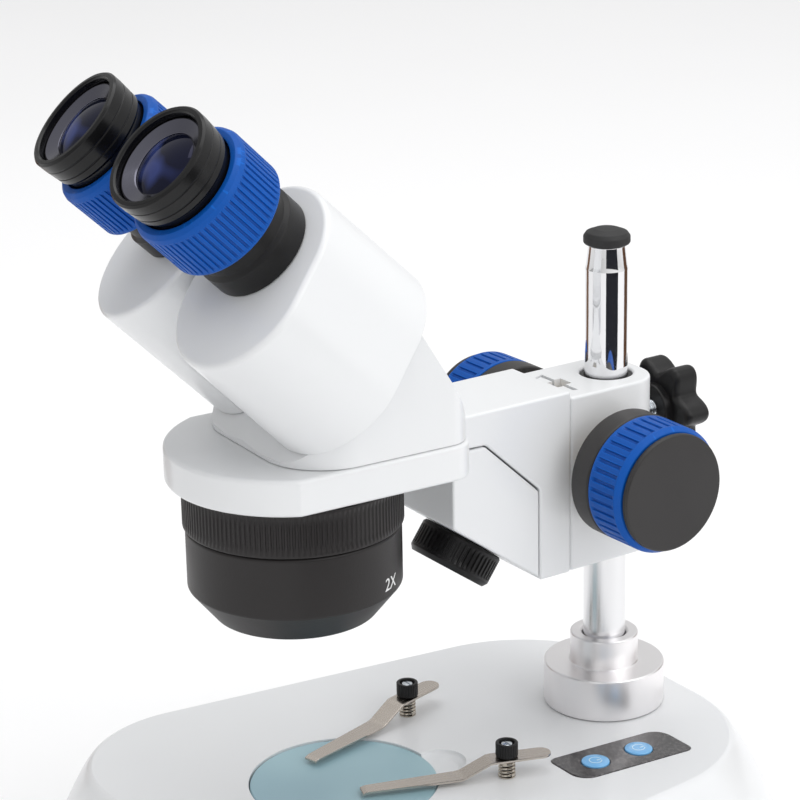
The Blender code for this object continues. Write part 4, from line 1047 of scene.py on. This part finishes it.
def make_wedge():
    """Body under the prism housings, with its sloping faces and soft edges."""
    low = PLATE_BOTTOM + PLATE_THICKNESS + GAP
    body = mesh_object("head_body_look", flat(wedge_outline(), low, low + 60), HEAD)
    slope = ((WEDGE_REAR + 40, 0.5), (WEDGE_REAR, 0.5), (48.6, 7.4), (45.6, 14.1), (41.0, 22.0),
             (26.0, 46.1), (0.0, 88.0), (WEDGE_REAR + 40, 88.0))
    back = eased([(y, low + z) for y, z in slope], 9.0, 6, closed=True)
    cut(body, side_prism(back, 60), HEAD)
    soften(body, 3.0, 5, 30)
    for tag in TAGS:
        seat = eye_frame(tag) @ at(0, 0, -HOUSING_END_S[tag] - GAP)
        above = [[(x, y, z) for x, y in ((-120, -90), (120, -90), (120, 90), (-120, 90))]
                 for z in (0, 120)]
        tool = mesh_object("shelf", loft(above), seat)
        shelf = low + 1.0
        cut(tool, block_mesh((400, 400, 200), (0, 0, shelf - 100)), HEAD)
        cut_with(body, tool)
    for side, tag in SIDES:
        start = HEAD @ Vector((side * OBJECTIVE_RADIUS, 0, low))
        swing_at = joint_point("prism_swing_" + tag)
        drop = joint_axis("prism_swing_" + tag) * (HOUSING_END_S[tag] - FACE_S)
        rise = swing_at - drop - start
        cut(body, rod(LIGHT_PATH_R, -10, rise.length + 12), along(rise, start))
    settle(body, "white_paint", "carriage", "head_body")


def make_eyepiece(tag):
    rim = eye_frame(tag)
    seat = -(FACE_S - GAP)
    tube = [(15.3, seat), (18.7, seat), (18.7, -44.2), (17.3, -42.8), (17.3, -20.0),
            (15.3, -20.0)]
    turned("eyepiece_tube_look_" + tag, eased(tube, 0.5, 4, True), rim, "black_plastic",
           "prism_" + tag, "eyepiece_tube_" + tag, segments=144, closed=True)
    barrel = [(11.0, -43.0), (15.0, -43.0), (15.0, -17.0), (17.4, -17.0), (17.5, -12.2),
              (18.6, -11.2), (18.75, -9.05), (18.45, -8.95), (18.45, -8.6), (18.85, -8.5),
              (19.1, -4.9), (18.85, -4.75), (18.85, -4.45), (19.2, -4.3), (19.2, -0.9),
              (18.5, -0.1), (17.2, 0.0), (16.5, -0.6), (16.5, -2.6), (16.2, -7.6),
              (11.0, -7.6)]
    turned("eyepiece_barrel_look_" + tag, eased(barrel, 0.3, 3, True), rim, "black_gloss",
           "eyepiece_" + tag, "eyepiece_barrel_" + tag, segments=160, closed=True)
    make_eye_lens(tag, rim)

    ring = [(18.0, -14.2), (17.8, -17.0), (17.7, -35.4), (21.5, -35.4), (22.0, -34.6),
            (22.0, -16.9), (21.5, -15.5), (20.2, -14.2)]
    grooves, first, last = 60, -34.4, -17.0
    turned("eyepiece_grip_look_" + tag, graded(eased(ring, 0.5, 4, closed=True), first, last, 14),
           rim, "blue_grip", "eyepiece_ring_" + tag, "eyepiece_grip_" + tag,
           segments=grooves * 12, wave=grooved(grooves, 0.5, first, last, 0.40), closed=True)


def make_eye_lens(tag, rim):
    """Domed lens in its turned, polished seat."""
    bevel = [(11.4, -5.4), (16.2, -5.4), (16.2, -2.7), (15.6, -2.5), (12.0, -4.0),
             (11.4, -4.3)]
    turned("eye_lens_seat_" + tag, eased(bevel, 0.2, 2, True), rim, "lens_seat",
           "eyepiece_" + tag, segments=160, closed=True)
    sphere, edge, steps = 26.0, 12.6, 18
    lens = [(0, -7.4), (edge, -7.4), (edge, -5.5)]
    sag = sphere - math.sqrt(sphere ** 2 - edge ** 2)
    for k in range(steps + 1):
        radius = edge * (1 - k / steps)
        lens.append((radius, -5.2 + sag - sphere + math.sqrt(sphere ** 2 - radius ** 2)))
    turned("eye_lens_look_" + tag, lens, rim, "optical_glass", "eyepiece_" + tag,
           "eye_lens_" + tag, segments=128)


def make_turret():
    low = TURRET_LOW
    top = box_of("turret_grip")[1].z
    grip_bottom = box_of("turret_grip")[0].z
    edge_z = low + 11.1
    bore, nose, outer, neck = 4.1, 28.6, 37.6, 34.0
    cup = [(bore, low), (nose, low), (outer, edge_z), (outer, grip_bottom - GAP),
           (neck, grip_bottom - GAP), (neck, top), (neck - 3, top), (neck - 3, edge_z + 2),
           (nose - 2, low + 5), (6.2, low + 5), (6.2, top - 4), (bore, top - 4)]
    body = mesh_object("turret_body_look", lathe(eased(cup, 1.4, 6, True), 160, closed=True),
                       HEAD)
    make_objectives(body)
    settle(body, "turret_black", "turret", "turret_body")
    make_turret_grip(neck)


def make_objectives(body):
    """Four lenses in stepped seats, which are cut in the turret's floor."""
    low = TURRET_LOW
    for i, name in enumerate(("low_right", "high_rear", "low_left", "high_front")):
        angle = math.pi / 2 * i
        centre = HEAD @ at(OBJECTIVE_RADIUS * math.cos(angle),
                           OBJECTIVE_RADIUS * math.sin(angle), low)
        step = [(0, -2), (8.2, -2), (7.7, 0.5), (7.7, 1.6), (9.0, 1.6), (9.0, 9), (0, 9)]
        cut(body, lathe(step, 64), centre)
        lens = [(0, 1.7), (4.0, 1.85), (6.7, 2.2), (8.7, 2.6), (8.7, 6.0), (5.7, 7.4), (0, 8.0)]
        turned("objective_look_" + name, eased(lens, 0.8, 3), centre, "optical_glass", "turret",
               "objective_" + name, segments=80)


def make_turret_grip(neck):
    bottom, top = box_of("turret_grip")[0].z, box_of("turret_grip")[1].z
    outer = 38.45
    ring = [(neck + GAP, bottom), (outer, bottom), (outer, top), (neck + GAP, top)]
    grooves, first, last = 132, bottom + 1.2, top - 1.2
    turned("turret_grip_look", graded(eased(ring, 0.5, 3, closed=True), first, last, 8), HEAD,
           "turret_black", "turret", "turret_grip", segments=grooves * 6,
           wave=grooved(grooves, 0.4, first, last, 0.5), closed=True)


def make_power_mark():
    """The power of the objective pair in use, printed low on the turret's side."""
    text = bpy.data.curves.new("power_mark", "FONT")
    text.body = "2X"
    text.size = 6.4
    text.align_x = "CENTER"
    holder = bpy.data.objects.new("power_mark", text)
    bpy.context.scene.collection.objects.link(holder)
    bpy.context.view_layer.update()
    flat_text = bpy.data.meshes.new_from_object(
        holder.evaluated_get(bpy.context.evaluated_depsgraph_get()))
    bpy.data.objects.remove(holder, do_unlink=True)
    bm = bmesh.new()
    bm.from_mesh(flat_text)
    bmesh.ops.triangulate(bm, faces=bm.faces)
    bmesh.ops.subdivide_edges(bm, edges=bm.edges, cuts=2, use_grid_fill=True)
    solid = bmesh.ops.extrude_face_region(bm, geom=list(bm.faces))
    raised = [v for v in solid["geom"] if isinstance(v, bmesh.types.BMVert)]
    bmesh.ops.translate(bm, vec=(0, 0, 0.12), verts=raised)
    radius, heading, slant, height = 37.56, math.radians(31.0), 0.12, TURRET_LOW + 13.6
    for v in bm.verts:
        angle = heading + (v.co.x + slant * v.co.y) / radius
        out = radius + v.co.z
        v.co = Vector((out * math.cos(angle), out * math.sin(angle), height + v.co.y))
    settle(mesh_object("power_mark_look", bm, HEAD), "mark_white", "turret")


# Pieces of the CAD that keep their shape ------------------

KEPT = {
    "rubber_foot": ("foot_front_left", "foot_front_right", "foot_rear_left",
                    "foot_rear_right"),
    "panel_film": ("bottom_plate",),
    "inner_plastic": ("stage_lamp",),
    "black_plastic": ("battery_pack", "power_inlet", "pillar_bush"),
    "zinc_steel": ("pillar_bolt", "pinion_shaft"),
    "turned_brass": ("rack",),
    "optical_glass": ("prism_block_left", "prism_block_right"),
}


def finish_kept_nodes():
    for finish, names in KEPT.items():
        for name in names:
            mesh = frame["nodes"][name].data
            mesh.materials.clear()
            mesh.materials.append(FINISHES[finish])


# Studio ---------------------------------------------------

AZIMUTH = math.radians(56.3)
ELEVATION = math.radians(18.5)
ROLL = math.radians(-1.1)
CAMERA_PLACE = (0.7200, -0.4921, 0.4773)
LENS = 117.0
SENSOR = 36.0
FLOOR_HALF = 6000.0
BRIGHT_SIDE = Vector((0.72, 0.42, 0.55)).normalized()
WORLD_DIM = 0.42
WORLD_BRIGHT = 0.97


def make_camera():
    camera = bpy.data.cameras.new("camera")
    camera.lens = LENS
    camera.sensor_width = SENSOR
    camera.clip_start = 0.05
    holder = bpy.data.objects.new("camera", camera)
    bpy.context.scene.collection.objects.link(holder)
    back = Vector((math.sin(AZIMUTH) * math.cos(ELEVATION),
                   -math.cos(AZIMUTH) * math.cos(ELEVATION), math.sin(ELEVATION)))
    right = Vector((math.cos(AZIMUTH), math.sin(AZIMUTH), 0.0))
    up = back.cross(right)
    leaned_right = right * math.cos(ROLL) + up * math.sin(ROLL)
    leaned_up = up * math.cos(ROLL) - right * math.sin(ROLL)
    turn = Matrix((leaned_right, leaned_up, back)).transposed().to_4x4()
    holder.matrix_world = Matrix.Translation(CAMERA_PLACE) @ turn
    bpy.context.scene.camera = holder


CARD_HEIGHT = 230.0
CARD_THICKNESS = 12.0
CARD_MIDDLE = 120.0
# (direction from the pillar in degrees, distance, width, colour)
CARDS = ((-8.0, 500.0, 640.0, (0.003, 0.004, 0.010)),
         (85.0, 500.0, 300.0, (0.10, 0.045, 0.022)),
         (-158.0, 500.0, 200.0, (0.15, 0.085, 0.055)))


def make_floor():
    bm = bmesh.new()
    bmesh.ops.create_grid(bm, x_segments=1, y_segments=1, size=FLOOR_HALF)
    floor = mesh_object("floor", bm)
    made, tree, shader, place = new_material("floor", (0.97, 0.97, 0.975), 0.0, 0.6)
    glossed(tree, shader, noise(tree, place, 3.0), 0.3, 0.7, 0.55, 0.65)
    floor.data.materials.append(made)


def make_light(name, place, aim, size, power):
    light = bpy.data.lights.new(name, "AREA")
    light.shape = "RECTANGLE"
    light.size, light.size_y = size
    light.energy = power
    holder = bpy.data.objects.new(name, light)
    bpy.context.scene.collection.objects.link(holder)
    away = (Vector(place) - Vector(aim)).normalized()
    turn = away.to_track_quat("Z", "Y").to_matrix().to_4x4()
    holder.matrix_world = Matrix.Translation(place) @ turn


def make_cards():
    """Dark upright cards round the pillar, which only mirror-like surfaces see."""
    for angle, reach, width, tint in CARDS:
        heading = math.radians(angle)
        bm = block_mesh((width, CARD_THICKNESS, CARD_HEIGHT), (0, 0, CARD_MIDDLE))
        card = mesh_object("card_%d" % angle, bm,
                           at(reach * math.cos(heading), PILLAR.y + reach * math.sin(heading), 0)
                           @ Matrix.Rotation(heading - math.pi / 2, 4, "Z"))
        made, tree, shader, place = new_material("card_%d" % angle, tint, 0.0, 0.8)
        tinted(tree, shader, noise(tree, place, 9.0), tint, tuple(c * 1.3 for c in tint))
        card.data.materials.append(made)
        card.visible_camera = False
        card.visible_diffuse = False
        card.visible_shadow = False


def make_world():
    """Even pale surroundings, brighter to the right and above than to the front left."""
    world = bpy.data.worlds.new("studio")
    world.use_nodes = True
    tree = world.node_tree
    shade = tree.nodes["Background"]
    place = tree.nodes.new("ShaderNodeTexCoord").outputs["Generated"]
    lean = tree.nodes.new("ShaderNodeVectorMath")
    lean.operation = "DOT_PRODUCT"
    lean.inputs[1].default_value = BRIGHT_SIDE
    tree.links.new(place, lean.inputs[0])
    shade.inputs["Color"].default_value = (1.0, 1.0, 1.0, 1.0)
    strength = ramped(tree, lean.outputs["Value"], -0.8, 0.9, WORLD_DIM, WORLD_BRIGHT)
    tree.links.new(strength, shade.inputs["Strength"])
    bpy.context.scene.world = world


def make_studio():
    make_floor()
    make_cards()
    make_world()
    aim = (0.0, 0.0, 0.16)
    make_light("key", (1.5, 0.5, 1.5), aim, (1.4, 1.4), 8.0)
    make_light("top", (-0.2, 0.3, 2.0), aim, (1.6, 1.6), 13.0)
    view = bpy.context.scene.view_settings
    view.view_transform = "Standard"
    view.look = "None"


def main():
    make_camera()
    make_base_shell()
    make_stage_plate()
    make_panel()
    make_pillar()
    for tag in TAGS:
        make_clip(tag)
    make_block()
    make_clamp()
    for side, tag in SIDES:
        make_focus_side(side, tag)
    make_arm()
    make_lamp_housing()
    make_lamp()
    make_head_plate()
    make_wedge()
    for side, tag in SIDES:
        make_housing(side, tag)
        make_eyepiece(tag)
    make_turret()
    make_power_mark()
    finish_kept_nodes()
    make_studio()


main()
